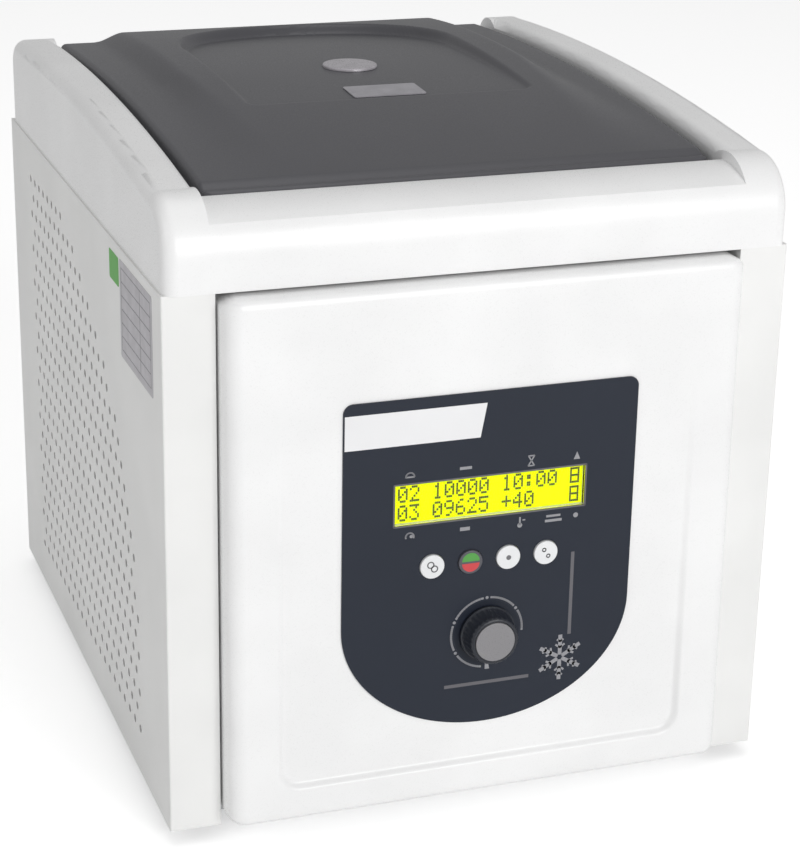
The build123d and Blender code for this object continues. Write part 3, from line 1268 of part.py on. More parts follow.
# Rotary encoder with its bush through the panel, the knob on its shaft, and the knob's cap
SHAFT_R = SHAFT_D / 2
KNOB_BACK = OVERLAY_Y - KNOB_GAP
KNOB_FRONT = KNOB_BACK - KNOB_H + CAP_PROUD
CAP_SUNK = 1.4
ENCODER_W = 16.0
with BuildPart() as encoder_body:
    with BuildSketch(Plane.XZ.offset(-WALL_BACK)):
        with Locations((0, FLOOR + KNOB_Z)):
            Rectangle(ENCODER_W, ENCODER_W)
    extrude(amount=WALL_BACK - BOARD_Y)
    with BuildSketch(Plane.XZ.offset(-WALL_BACK)):
        with Locations((0, FLOOR + KNOB_Z)):
            Circle(BUSH_R)
    extrude(amount=WALL_BACK - OVERLAY_Y)
    with BuildSketch(Plane.XZ.offset(-OVERLAY_Y)):
        with Locations((0, FLOOR + KNOB_Z)):
            Circle(SHAFT_R + RUN)
    extrude(amount=OVERLAY_Y - BOARD_Y + 2, mode=Mode.SUBTRACT)
save(encoder_body.part, "encoder_body")

with BuildPart() as knob:
    with BuildSketch(Plane.XZ.offset(-KNOB_BACK)):
        with Locations((0, FLOOR + KNOB_Z)):
            Circle(KNOB_D / 2)
    extrude(amount=KNOB_BACK - KNOB_FRONT, taper=4)
    fillet(knob.edges().sort_by(Axis.Y)[0], 1.0)
    with BuildSketch(Plane.XZ.offset(-KNOB_FRONT)):
        with Locations((0, FLOOR + KNOB_Z)):
            Circle(CAP_D / 2)
    extrude(amount=-CAP_SUNK, mode=Mode.SUBTRACT)
    with BuildSketch(Plane.XZ.offset(-KNOB_BACK)):
        with Locations((0, FLOOR + KNOB_Z)):
            Circle(SHAFT_R)
    extrude(amount=KNOB_BACK - BOARD_Y + 4)
save(knob.part, "knob")

with BuildPart() as knob_cap:
    with BuildSketch(Plane.XZ.offset(-KNOB_FRONT - CAP_SUNK)):
        with Locations((0, FLOOR + KNOB_Z)):
            Circle(CAP_D / 2 - 0.02)
    extrude(amount=CAP_SUNK + CAP_PROUD)
    fillet(knob_cap.edges().sort_by(Axis.Y)[0], 0.4)
save(knob_cap.part, "knob_cap")

# Control board with its heat sink, upright on a bracket on the right
BRACKET_X = 134.0
BOARD_STAND = 4.4
BOARD_FRONT = 95.0
BOARD_REAR = 255.0
MAIN_LOW = 14.0
MAIN_TOP = 130.0
board_y = FRONT + (BOARD_FRONT + BOARD_REAR) / 2
board_z = FLOOR + (MAIN_LOW + MAIN_TOP) / 2
board_face = BRACKET_X - BOARD_STAND
with BuildPart() as board_bracket:
    with BuildSketch(Plane.YZ.offset(BRACKET_X)):
        with Locations((board_y, (PAN_TOP + FLOOR + MAIN_TOP + 5) / 2)):
            Rectangle(BOARD_REAR - BOARD_FRONT + 6, FLOOR + MAIN_TOP + 5 - PAN_TOP)
    extrude(amount=SHEET)
    with BuildSketch(Plane.XY.offset(PAN_TOP)):
        with Locations((BRACKET_X + 8, board_y)):
            Rectangle(16, BOARD_REAR - BOARD_FRONT + 6)
    extrude(amount=SHEET)
    with BuildSketch(Plane.YZ.offset(BRACKET_X)):
        with Locations((board_y, board_z)):
            with GridLocations(BOARD_REAR - BOARD_FRONT - 12, MAIN_TOP - MAIN_LOW - 12, 2, 2):
                Circle(3)
    extrude(amount=-BOARD_STAND)
save(board_bracket.part, "board_bracket")

with BuildPart() as main_board:
    with BuildSketch(Plane.YZ.offset(board_face)):
        with Locations((board_y, board_z)):
            Rectangle(BOARD_REAR - BOARD_FRONT, MAIN_TOP - MAIN_LOW)
    extrude(amount=-BOARD_T)
    with BuildSketch(Plane.YZ.offset(board_face - BOARD_T)):
        with Locations((board_y - 40, board_z)):
            Rectangle(50, 80)
    extrude(amount=-5)
    with BuildSketch(Plane.YZ.offset(board_face - BOARD_T)):
        with Locations((board_y - 40, board_z)):
            with GridLocations(6, 0, 8, 1):
                Rectangle(1.5, 80)
    extrude(amount=-25)
    with BuildSketch(Plane.YZ.offset(board_face - BOARD_T)):
        with Locations((board_y + 15, board_z + 30), (board_y + 15, board_z + 5)):
            Circle(10)
    extrude(amount=-30)
    with BuildSketch(Plane.YZ.offset(board_face - BOARD_T)):
        with Locations((board_y + 50, board_z)):
            with GridLocations(0, 24, 1, 4):
                Rectangle(28, 16)
    extrude(amount=-14)
save(main_board.part, "main_board")

# Power supply in a slotted sheet case on the base pan
SUPPLY = (120.0, 72.0, 48.0)
SUPPLY_XY = (0.0, FRONT + 62.0)
with BuildPart() as power_supply:
    with BuildSketch(Plane.XY.offset(PAN_TOP)):
        with Locations(SUPPLY_XY):
            Rectangle(SUPPLY[0], SUPPLY[1])
    extrude(amount=SUPPLY[2])
    with BuildSketch(Plane.XY.offset(PAN_TOP + SHEET)):
        with Locations(SUPPLY_XY):
            Rectangle(SUPPLY[0] - 2 * SHEET, SUPPLY[1] - 2 * SHEET)
    extrude(amount=SUPPLY[2] - 2 * SHEET, mode=Mode.SUBTRACT)
    with BuildSketch(Plane.XY.offset(PAN_TOP + SUPPLY[2])):
        with Locations(SUPPLY_XY):
            with GridLocations(8, 0, 12, 1):
                SlotOverall(50, 3, rotation=90)
    extrude(amount=-SHEET, mode=Mode.SUBTRACT)
save(power_supply.part, "power_supply")

# Power inlet with a socket below and the mains rocker above, through the rear panel
INLET_IN = 24.0
INLET_FLANGE = 2.5
SOCKET_W = 24.0
SOCKET_H = 16.5
SOCKET_DEPTH = 20.0
PIN_LEN = 13.0
SOCKET_Z = INLET_Z - 9.5
ROCKER_Z = INLET_Z + 13.5
ROCKER_W = 20.0
ROCKER_HALF = 6.0
ROCKER_TILT = 7.0
ROCKER_REACH = 4.6
ROCKER_PIN = 1.2
rocker_axis_y = REAR - 1.5
inlet_face = REAR + INLET_FLANGE
with BuildPart() as power_inlet:
    with BuildSketch(Plane.XZ.offset(-REAR)):
        with Locations((INLET_X, FLOOR + INLET_Z)):
            Rectangle(INLET_W, INLET_H)
    extrude(amount=INLET_IN)
    with BuildSketch(Plane.XZ.offset(-REAR)):
        with Locations((INLET_X, FLOOR + INLET_Z)):
            RectangleRounded(INLET_W + 8, INLET_H + 8, 3)
    extrude(amount=-INLET_FLANGE)
    with BuildSketch(Plane.XZ.offset(-inlet_face)):
        with Locations((INLET_X, FLOOR + SOCKET_Z)):
            RectangleRounded(SOCKET_W, SOCKET_H, 3)
    extrude(amount=SOCKET_DEPTH, mode=Mode.SUBTRACT)
    with BuildSketch(Plane.XZ.offset(-inlet_face)):
        with Locations((INLET_X, FLOOR + ROCKER_Z)):
            Rectangle(ROCKER_W + 2 * SEE_GAP, 2 * (ROCKER_HALF + 1.2))
    extrude(amount=SOCKET_DEPTH - 8, mode=Mode.SUBTRACT)
    with BuildSketch(Plane.YZ.offset(INLET_X - ROCKER_W / 2 - 2)):
        with Locations((rocker_axis_y, FLOOR + ROCKER_Z)):
            Circle(ROCKER_PIN + RUN)
    extrude(amount=ROCKER_W + 4, mode=Mode.SUBTRACT)
    with BuildSketch(Plane.XZ.offset(SOCKET_DEPTH - inlet_face)):
        with Locations((INLET_X - 7, FLOOR + SOCKET_Z - 2), (INLET_X + 7, FLOOR + SOCKET_Z - 2)):
            Rectangle(2, 4)
        with Locations((INLET_X, FLOOR + SOCKET_Z + 2)):
            Rectangle(2, 4)
    extrude(amount=-PIN_LEN)
save(power_inlet.part, "power_inlet")

rocker_lean = radians(ROCKER_TILT)
rocker_plane = Plane(
    origin=(INLET_X - ROCKER_W / 2, rocker_axis_y, FLOOR + ROCKER_Z),
    x_dir=(0, cos(rocker_lean), sin(rocker_lean)), z_dir=(1, 0, 0))
with BuildPart() as mains_rocker:
    with BuildSketch(rocker_plane):
        with BuildLine():
            Polyline(
                (-2.5, -ROCKER_HALF), (ROCKER_REACH, -ROCKER_HALF), (ROCKER_REACH - 0.8, 0),
                (ROCKER_REACH, ROCKER_HALF), (-2.5, ROCKER_HALF), close=True)
        make_face()
    extrude(amount=ROCKER_W)
    with BuildSketch(Plane.YZ.offset(INLET_X - ROCKER_W / 2 - 1.8)):
        with Locations((rocker_axis_y, FLOOR + ROCKER_Z)):
            Circle(ROCKER_PIN)
    extrude(amount=ROCKER_W + 3.6)
save(mains_rocker.part, "mains_rocker")

# Bare rating label and a small coloured sticker on the left side panel
LABEL_T = 0.2
with BuildPart() as side_labels:
    with BuildSketch(Plane.YZ.offset(-CASE_W / 2)):
        with Locations(at(50.8, 247.6)):
            RectangleRounded(66.4, 50.2, 2)
        with Locations(at(96.5, 264.5)):
            RectangleRounded(20.2, 15.0, 2)
    extrude(amount=-LABEL_T)
save(side_labels.part, "side_labels")
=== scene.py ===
from math import atan2, cos, hypot, pi, radians, sin, sqrt

import bmesh
import bpy
from mathutils import Matrix, Vector


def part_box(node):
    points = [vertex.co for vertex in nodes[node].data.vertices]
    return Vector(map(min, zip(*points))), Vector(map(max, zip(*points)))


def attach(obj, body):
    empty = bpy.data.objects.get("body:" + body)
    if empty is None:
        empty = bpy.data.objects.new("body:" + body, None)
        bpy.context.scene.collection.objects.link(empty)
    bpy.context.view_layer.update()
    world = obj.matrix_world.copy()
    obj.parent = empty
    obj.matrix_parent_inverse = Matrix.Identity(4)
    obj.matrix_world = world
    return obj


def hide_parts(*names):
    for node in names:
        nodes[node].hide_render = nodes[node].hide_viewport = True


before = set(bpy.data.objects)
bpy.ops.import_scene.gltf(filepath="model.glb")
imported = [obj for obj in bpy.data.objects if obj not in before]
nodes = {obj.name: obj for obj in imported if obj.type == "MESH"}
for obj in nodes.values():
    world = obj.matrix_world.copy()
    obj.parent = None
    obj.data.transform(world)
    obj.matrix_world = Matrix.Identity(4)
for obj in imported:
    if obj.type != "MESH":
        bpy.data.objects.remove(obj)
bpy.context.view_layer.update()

# The view of the object: from above its left front corner, with the photograph's long lens.
# The camera stands 1.3 m away and is turned by a degree about its own axis.
AZIMUTH = radians(-19.6187)
ELEVATION = radians(20.6253)
ROLL = radians(1.0757)
CAMERA_PLACE = Vector((-0.39735, -1.17299, 0.60612))
LENS = 97.87
SENSOR_WIDTH = 36.0

back = Vector((sin(AZIMUTH) * cos(ELEVATION), -cos(AZIMUTH) * cos(ELEVATION), sin(ELEVATION)))
right = (-back).cross(Vector((0, 0, 1))).normalized()
up = right.cross(-back)
camera_x = right * cos(ROLL) + up * sin(ROLL)
camera_y = up * cos(ROLL) - right * sin(ROLL)
camera = bpy.data.objects.new("camera", bpy.data.cameras.new("camera"))
camera.data.lens = LENS
camera.data.sensor_width = SENSOR_WIDTH
turned_to = Matrix((camera_x, camera_y, back)).transposed().to_4x4()
camera.matrix_world = Matrix.Translation(CAMERA_PLACE) @ turned_to
bpy.context.scene.collection.objects.link(camera)
bpy.context.scene.camera = camera
bpy.context.scene.view_settings.view_transform = "Standard"

# A plain pale floor that runs out of sight, and soft light from a wide lamp over the right front,
# a weaker one on the left, and the pale world round them. Each lamp has its place, width and power.
FLOOR_HALF = 12.0
FLOOR_SEEN, FLOOR_LIGHT = 0.44, 0.09
WORLD_SEEN, WORLD_LIGHT = 1.0, 0.42
WHITE = (1.0, 1.0, 1.0, 1.0)
LAMPS = {
    "key": ((0.75, -2.9, 1.05), 1.6, 42.5),
    "fill": ((-2.6, -0.6, 1.6), 1.6, 8.0),
    "top": ((0.1, 0.2, 2.6), 1.8, 9.0),
}
AIM = Vector((0.0, 0.0, 0.17))


def emission_strength(tree, seen, lights):
    """Strength socket that is one value to the camera and through glass, and another as light."""
    path = tree.nodes.new("ShaderNodeLightPath")
    most = tree.nodes.new("ShaderNodeMath")
    most.operation = "MAXIMUM"
    tree.links.new(path.outputs["Is Camera Ray"], most.inputs[0])
    tree.links.new(path.outputs["Is Transmission Ray"], most.inputs[1])
    scale = tree.nodes.new("ShaderNodeMapRange")
    scale.inputs["To Min"].default_value = lights
    scale.inputs["To Max"].default_value = seen
    tree.links.new(most.outputs[0], scale.inputs["Value"])
    return scale.outputs[0]


world = bpy.data.worlds.new("studio")
world.use_nodes = True
bpy.context.scene.world = world
sky = world.node_tree.nodes["Background"]
sky.inputs["Color"].default_value = WHITE
world_strength = emission_strength(world.node_tree, WORLD_SEEN, WORLD_LIGHT)
world.node_tree.links.new(world_strength, sky.inputs["Strength"])

for lamp_name, (place, width, power) in LAMPS.items():
    lamp = bpy.data.objects.new(lamp_name, bpy.data.lights.new(lamp_name, "AREA"))
    lamp.data.shape = "DISK"
    lamp.data.size = width
    lamp.data.energy = power
    lamp.location = place
    lamp.rotation_mode = "QUATERNION"
    lamp.rotation_quaternion = (AIM - Vector(place)).to_track_quat("-Z", "Y")
    bpy.context.scene.collection.objects.link(lamp)


def shader_of(material):
    return material.node_tree.nodes["Principled BSDF"]


def plain(name, colour, roughness, metallic=0.0):
    """A material with one colour and roughness, which the next functions then work on."""
    material = bpy.data.materials.new(name)
    material.use_nodes = True
    shader = shader_of(material)
    shader.inputs["Base Color"].default_value = (*colour, 1.0)
    shader.inputs["Roughness"].default_value = roughness
    shader.inputs["Metallic"].default_value = metallic
    return material


floor_mesh = bmesh.new()
bmesh.ops.create_grid(floor_mesh, x_segments=1, y_segments=1, size=FLOOR_HALF)
floor = bpy.data.objects.new("floor", bpy.data.meshes.new("floor"))
floor_mesh.to_mesh(floor.data)
floor_mesh.free()
floor_white = plain("floor_white", (0.93, 0.93, 0.93), 0.9)
shader_of(floor_white).inputs["Emission Color"].default_value = WHITE
glow = emission_strength(floor_white.node_tree, FLOOR_SEEN, FLOOR_LIGHT)
floor_white.node_tree.links.new(glow, shader_of(floor_white).inputs["Emission Strength"])
floor.data.materials.append(floor_white)
bpy.context.scene.collection.objects.link(floor)

# Casing: two folded steel side panels with rows of round vents, and a steel rear panel, all powder
# coated in white and held with screws at the back.
DRIFT_DETAIL, GRAIN_DETAIL = 2.0, 4.0
SMOOTHER, ROUGHER = 0.05, 0.07
RELIEF_STRENGTH = 0.35


def noise(material, size, detail, stretch=(1.0, 1.0, 1.0)):
    """Noise on the object's own coordinates, with blobs of about the given size in metres."""
    tree = material.node_tree
    coords = tree.nodes.new("ShaderNodeTexCoord")
    mapping = tree.nodes.new("ShaderNodeMapping")
    mapping.inputs["Scale"].default_value = stretch
    texture = tree.nodes.new("ShaderNodeTexNoise")
    texture.inputs["Scale"].default_value = 1.0 / size
    texture.inputs["Detail"].default_value = detail
    tree.links.new(coords.outputs["Object"], mapping.inputs["Vector"])
    tree.links.new(mapping.outputs["Vector"], texture.inputs["Vector"])
    return texture.outputs["Fac"]


def tint(material, pattern, dark, light, low=0.35, high=0.65):
    """Runs the base colour from dark to light along a pattern."""
    tree = material.node_tree
    ramp = tree.nodes.new("ShaderNodeValToRGB")
    ramp.color_ramp.elements[0].position = low
    ramp.color_ramp.elements[0].color = (*dark, 1.0)
    ramp.color_ramp.elements[1].position = high
    ramp.color_ramp.elements[1].color = (*light, 1.0)
    tree.links.new(pattern, ramp.inputs["Fac"])
    tree.links.new(ramp.outputs["Color"], shader_of(material).inputs["Base Color"])


def gloss(material, pattern, smooth, rough, low=0.3, high=0.7):
    """Runs the roughness from smooth to rough along a pattern."""
    tree = material.node_tree
    spread = tree.nodes.new("ShaderNodeMapRange")
    spread.inputs["From Min"].default_value = low
    spread.inputs["From Max"].default_value = high
    spread.inputs["To Min"].default_value = smooth
    spread.inputs["To Max"].default_value = rough
    tree.links.new(pattern, spread.inputs["Value"])
    tree.links.new(spread.outputs[0], shader_of(material).inputs["Roughness"])


def relief(material, pattern, depth):
    """Raises the surface along a pattern by a depth in metres."""
    tree = material.node_tree
    bump = tree.nodes.new("ShaderNodeBump")
    bump.inputs["Strength"].default_value = RELIEF_STRENGTH
    bump.inputs["Distance"].default_value = depth
    tree.links.new(pattern, bump.inputs["Height"])
    tree.links.new(bump.outputs["Normal"], shader_of(material).inputs["Normal"])


def shade(colour, factor):
    return tuple(channel * factor for channel in colour)


def textured(name, colour, roughness, grain, depth, metallic=0.0, patch=0.06, contrast=0.05,
             stretch=(1.0, 1.0, 1.0)):
    """A finish with slow drifts of colour over a fine grain of a size and a depth in metres."""
    material = plain(name, colour, roughness, metallic)
    drift = noise(material, patch, DRIFT_DETAIL)
    tint(material, drift, shade(colour, 1 - contrast), colour)
    fine = noise(material, grain, GRAIN_DETAIL, stretch)
    gloss(material, fine, roughness - SMOOTHER, roughness + ROUGHER)
    relief(material, fine, depth)
    return material


def wear(material, *names):
    """Gives CAD nodes a material."""
    for name in names:
        mesh = nodes[name].data
        mesh.materials.clear()
        mesh.materials.append(material)


powder = textured("powder_coat", (0.84, 0.84, 0.83), 0.42, 0.0009, 0.00005)
wear(powder, "left_side_panel", "right_side_panel", "rear_panel")

# Front panel: one white moulding, proud of the pillars, with softly rounded edges. Its border grows
# prouder towards the foot, which leaves a sunk field with round corners below the controls.
PANEL_ROUND = 0.009
PANEL_TOP_ROUND = 0.005
PANEL_TOP_DEPTH = 0.003
FIELD_HALF = 0.107
FIELD_BOTTOM = 0.031
FIELD_ROUND = 0.010
FIELD_EDGE = 0.0036
BORDER_FADE = 0.238
BORDER_PROUD = 0.003
PANEL_WALL = 0.0025
PANEL_CREASE = 40
WIDE_STEP, BORDER_STEP, SIDE_STEP, EDGE_STEP = 0.006, 0.003, 0.001, 0.0007
FINE_INSIDE, FINE_OUTSIDE = 0.012, 0.003
MERGE = 0.00001
LEAST_BEND = 0.0001
KEY_HOLE_R = 0.00655
SHAFT_HOLE_R = 0.00455
HOLE_LENGTH = 0.06
CUT_PAST = 0.01
KNOB_X = 0.0

moulding = textured("moulding_white", (0.89, 0.89, 0.89), 0.30, 0.0006, 0.00003)
wear(moulding, "top_cover")
panel_low, panel_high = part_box("front_panel")
overlay_low, overlay_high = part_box("control_overlay")
face_y = overlay_high.y


def smooth(value):
    """Zero below 0, one above 1, and a smooth curve between."""
    value = max(0.0, min(1.0, value))
    return value * value * (3 - 2 * value)


def spaced(start, *stops):
    """Places along a line: each stop is a place and the spacing up to it."""
    places = [start]
    for end, step in stops:
        begin = places[-1]
        count = max(1, round((end - begin) / step))
        places += [begin + (end - begin) * (k + 1) / count for k in range(count)]
    return places


def both_sides(half):
    """Places from the middle outwards, repeated on the other side of zero."""
    return [-place for place in reversed(half[1:])] + half


def sheet_over(columns, rows):
    """A flat grid whose lines lie at the given places along x and y."""
    mesh = bmesh.new()
    bmesh.ops.create_grid(mesh, x_segments=len(columns) - 1, y_segments=len(rows) - 1, size=1.0)
    for vertex in mesh.verts:
        column = round((vertex.co.x + 1) / 2 * (len(columns) - 1))
        row = round((vertex.co.y + 1) / 2 * (len(rows) - 1))
        vertex.co = Vector((columns[column], rows[row], 0.0))
    return mesh


def skirt(mesh, shift):
    """Draws the open edge of a sheet back by a shift, as a wall round it."""
    rim = [edge for edge in mesh.edges if edge.is_boundary]
    wall = bmesh.ops.extrude_edge_only(mesh, edges=rim)
    moved = [item for item in wall["geom"] if isinstance(item, bmesh.types.BMVert)]
    bmesh.ops.translate(mesh, verts=moved, vec=shift)
    return moved


def piece(name, mesh, material, body, slot, *replaced):
    """Turns a bmesh into a finished piece of the object that rides on a body."""
    made = bpy.data.objects.new(name, bpy.data.meshes.new(name))
    mesh.to_mesh(made.data)
    mesh.free()
    made.data.materials.append(material)
    made.data.polygons.foreach_set("use_smooth", [True] * len(made.data.polygons))
    bpy.context.scene.collection.objects.link(made)
    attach(made, body)
    if replaced:
        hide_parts(*replaced)
    return made


def cut(made, cutter):
    """Cuts one bmesh out of a finished piece."""
    tool = bpy.data.objects.new("cutter", bpy.data.meshes.new("cutter"))
    bmesh.ops.recalc_face_normals(cutter, faces=cutter.faces)
    cutter.to_mesh(tool.data)
    cutter.free()
    bpy.context.scene.collection.objects.link(tool)
    boolean = made.modifiers.new("cut", "BOOLEAN")
    boolean.operation = "DIFFERENCE"
    boolean.solver = "EXACT"
    boolean.object = tool
    bpy.context.view_layer.update()
    shaped = bpy.data.meshes.new_from_object(made.evaluated_get(bpy.context.evaluated_depsgraph_get()))
    made.modifiers.remove(boolean)
    made.data = shaped
    bpy.data.objects.remove(tool)


def sharpen(made, degrees):
    """Keeps edges sharper than an angle crisp under smooth shading."""
    mesh = bmesh.new()
    mesh.from_mesh(made.data)
    for edge in mesh.edges:
        if len(edge.link_faces) == 2 and edge.calc_face_angle(0) > radians(degrees):
            edge.smooth = False
    mesh.to_mesh(made.data)
    mesh.free()


def add_block(mesh, low, high):
    """Adds a box to a bmesh and returns its vertices."""
    centre = [(a + b) / 2 for a, b in zip(low, high)]
    made = bmesh.ops.create_cube(mesh, size=1.0)["verts"]
    bmesh.ops.scale(mesh, verts=made, vec=[b - a for a, b in zip(low, high)])
    bmesh.ops.translate(mesh, verts=made, vec=centre)
    return made


def add_round(mesh, centre, radius, depth, sides=48):
    """Adds a closed disc that faces the front to a bmesh, centred on a point."""
    place = Matrix.Translation(centre) @ Matrix.Rotation(-pi / 2, 4, "X")
    bmesh.ops.create_cone(mesh, cap_ends=True, segments=sides, radius1=radius, radius2=radius, depth=depth,
                          matrix=place)


def corner_gap(gap_a, gap_b, radius):
    """How far a point lies inside a corner with a radius, from its gaps to the two sides."""
    if gap_a < radius and gap_b < radius:
        return radius - hypot(radius - gap_a, radius - gap_b)
    return min(gap_a, gap_b)


panel_half = panel_high.x
panel_columns = both_sides(spaced(
    0.0, (FIELD_HALF - FINE_INSIDE, WIDE_STEP), (FIELD_HALF + FINE_OUTSIDE, EDGE_STEP),
    (panel_half - PANEL_ROUND, BORDER_STEP), (panel_half, SIDE_STEP)))
panel_rows = spaced(
    panel_low.z, (panel_low.z + PANEL_TOP_ROUND, EDGE_STEP), (FIELD_BOTTOM - FINE_OUTSIDE, BORDER_STEP),
    (FIELD_BOTTOM + FINE_INSIDE, EDGE_STEP), (panel_high.z - PANEL_TOP_ROUND, WIDE_STEP),
    (panel_high.z, EDGE_STEP))
skin = sheet_over(panel_columns, panel_rows)
outside = []
for vertex in skin.verts:
    across, height = vertex.co.x, vertex.co.y
    inside = corner_gap(FIELD_HALF - abs(across), height - FIELD_BOTTOM, FIELD_ROUND)
    sunk = smooth(0.5 + inside / FIELD_EDGE)
    proud = BORDER_PROUD * max(0.0, BORDER_FADE - height) / (BORDER_FADE - panel_low.z)
    edge_x = max(0.0, 1 - (panel_half - abs(across)) / PANEL_ROUND)
    edge_z = max(0.0, 1 - min(height - panel_low.z, panel_high.z - height) / PANEL_TOP_ROUND)
    reach = max(1.0, hypot(edge_x, edge_z))
    if reach > 1.0:
        outside.append(vertex)
        inward_x = -1 if across > 0 else 1
        inward_z = 1 if height < panel_low.z + PANEL_TOP_ROUND else -1
        across += inward_x * PANEL_ROUND * edge_x * (1 - 1 / reach)
        height += inward_z * PANEL_TOP_ROUND * edge_z * (1 - 1 / reach)
    bend = min(1.0, hypot(edge_x, edge_z))
    share_z = edge_z**2 / max(LEAST_BEND, edge_x**2 + edge_z**2)
    round_off = (PANEL_ROUND + (PANEL_TOP_DEPTH - PANEL_ROUND) * share_z) * (1 - sqrt(1 - bend**2))
    vertex.co = Vector((across, face_y - proud * (1 - sunk) + round_off, height))
corner_faces = [face for face in skin.faces if all(vertex in outside for vertex in face.verts)]
bmesh.ops.delete(skin, geom=corner_faces, context="FACES")
skirt(skin, Vector((0, 0, 0)))
for vertex in [v for v in skin.verts if v.is_boundary]:
    vertex.co.y = panel_high.y
bmesh.ops.remove_doubles(skin, verts=skin.verts, dist=MERGE)
bmesh.ops.recalc_face_normals(skin, faces=skin.faces)
if sum(face.normal.y for face in skin.faces) > 0:
    bmesh.ops.reverse_faces(skin, faces=skin.faces)
bmesh.ops.solidify(skin, geom=skin.faces, thickness=PANEL_WALL)
front_panel = piece("front_moulding", skin, moulding, "casing", "moulding_white", "front_panel")
holes = bmesh.new()
window_low, window_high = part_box("lcd_window")
add_block(holes, (window_low.x, overlay_low.y, window_low.z),
          (window_high.x, panel_high.y + CUT_PAST, window_high.z))
for key in ("button_1", "button_2", "button_3", "button_4"):
    key_low, key_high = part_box(key)
    key_middle = (key_low + key_high) / 2
    add_round(holes, (key_middle.x, face_y, key_middle.z), KEY_HOLE_R, HOLE_LENGTH)
encoder_low, encoder_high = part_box("encoder_body")
knob_z = (encoder_low.z + encoder_high.z) / 2
add_round(holes, (KNOB_X, face_y, knob_z), SHAFT_HOLE_R, HOLE_LENGTH)
cut(front_panel, holes)
sharpen(front_panel, PANEL_CREASE)

# Lid: one moulding in grey ABS on two rear hinges. Its top is a long arc with a bead along the front
# edge. Its middle is arched higher than its sides, and a panel with a round rear end is sunk into it.
# An arc is its radius, its peak and where along y it peaks.
EDGE_ARC = (1.850, 0.3358, 0.0491)
MIDDLE_ARC = (1.053, 0.3441, 0.0560)
FLOOR_ARC = (1.190, 0.3403, 0.0276)
LIP_DROP = 0.0046
LIP_RUN = 0.014
BEAD_WIDTH = 0.006
BEAD_RISE = 0.0027
FRONT_CORNER = 0.006
LID_TAIL = 0.008
LID_ROUND = 0.003
MIDDLE_HALF = 0.103
MIDDLE_SLOPE = 0.016
SLOPE_SPREAD = 0.2
SUNK_HALF = 0.078
SUNK_FRONT = -0.0389
SUNK_ARC_Y = 0.0891
SUNK_CORNER = 0.006
WALL_BLEND, WALL_SLOPE = 0.0022, 0.55
CORNER_FROM = 0.9
LID_CAP_Z = 0.3215
LID_WALL = 0.0025
LID_CREASE = 38
NOTCH_IN = 0.0687
PIN_ROOM, BRACKET_ROOM, TOP_ROOM = 0.0045, 0.0004, 0.0008
# Places across the lid, and the spacing of its grid up to each. It is fine where the surface bends.
LID_SPACING = ((0.070, 0.00175), (0.086, 0.0011), (0.090, 0.002), (0.108, 0.0015))
OUTER_STRIP, OUTER_STEP, ROUND_STEP = 0.004, 0.003, 0.0005
FRONT_STEP, SLOPE_STEP, WALL_STEP, MIDDLE_STEP = 0.0005, 0.0028, 0.001, 0.0021
WALL_BEFORE, WALL_AFTER = 0.004, 0.008
TAIL_STRIP, REAR_STEP, TAIL_STEP = 0.012, 0.0013, 0.0007

lid_grey = textured("lid_grey", (0.074, 0.074, 0.083), 0.36, 0.0007, 0.00004)
lid_low, lid_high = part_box("lid_shell")
lid_half = lid_high.x


def arc_height(arc, along):
    """Height of an arc of (radius, peak, where it peaks) at a place along y."""
    radius, peak, peak_y = arc
    return peak - radius + sqrt(radius**2 - (along - peak_y) ** 2)


def quarter(gap, radius):
    """Drop of a rounded edge at a gap from that edge."""
    bend = max(0.0, min(1.0, 1 - gap / radius))
    return radius * (1 - sqrt(1 - bend**2))


def lid_top(across, along):
    """Height of the lid's upper face."""
    base = arc_height(EDGE_ARC, along)
    rise = max(0.0, arc_height(MIDDLE_ARC, along) - base)
    slope = MIDDLE_SLOPE + SLOPE_SPREAD * max(0.0, FLOOR_ARC[2] - along)
    rise *= smooth(0.5 + (MIDDLE_HALF - abs(across)) / slope)
    if along < SUNK_ARC_Y:
        gap = corner_gap(SUNK_HALF - abs(across), along - SUNK_FRONT, SUNK_CORNER)
    else:
        gap = SUNK_HALF - hypot(across, along - SUNK_ARC_Y)
    wall = base + rise - arc_height(FLOOR_ARC, along)
    sunk = smooth(0.5 + gap / (WALL_BLEND + WALL_SLOPE * max(0.0, wall)))
    front = along - lid_low.y
    drop = LIP_DROP * (1 - smooth(front / LIP_RUN))
    if front < BEAD_WIDTH:
        drop -= BEAD_RISE * sqrt(max(0.0, 1 - (2 * front / BEAD_WIDTH - 1) ** 2))
    drop += quarter(lid_high.y - along, LID_TAIL + rise)
    return base + rise - sunk * wall - drop - quarter(lid_half - abs(across), LID_ROUND)


lid_columns = both_sides(spaced(
    0.0, *LID_SPACING, (lid_half - OUTER_STRIP, OUTER_STEP), (lid_half, ROUND_STEP)))
lid_rows = spaced(
    lid_low.y, (lid_low.y + LIP_RUN, FRONT_STEP), (SUNK_FRONT - WALL_BEFORE, SLOPE_STEP),
    (SUNK_FRONT + WALL_AFTER, WALL_STEP), (SUNK_ARC_Y, MIDDLE_STEP), (lid_high.y - TAIL_STRIP, REAR_STEP),
    (lid_high.y, TAIL_STEP))
shell = sheet_over(lid_columns, lid_rows)
for vertex in shell.verts:
    vertex.co.z = lid_top(vertex.co.x, vertex.co.y)
    inset = quarter(vertex.co.y - lid_low.y, FRONT_CORNER)
    outer = smooth((abs(vertex.co.x) / lid_half - CORNER_FROM) / (1 - CORNER_FROM))
    vertex.co.x *= 1 - inset * outer / lid_half
for vertex in skirt(shell, Vector((0, 0, 0))):
    vertex.co.z = lid_low.z
lid_middle = (lid_low.y + lid_high.y) / 2
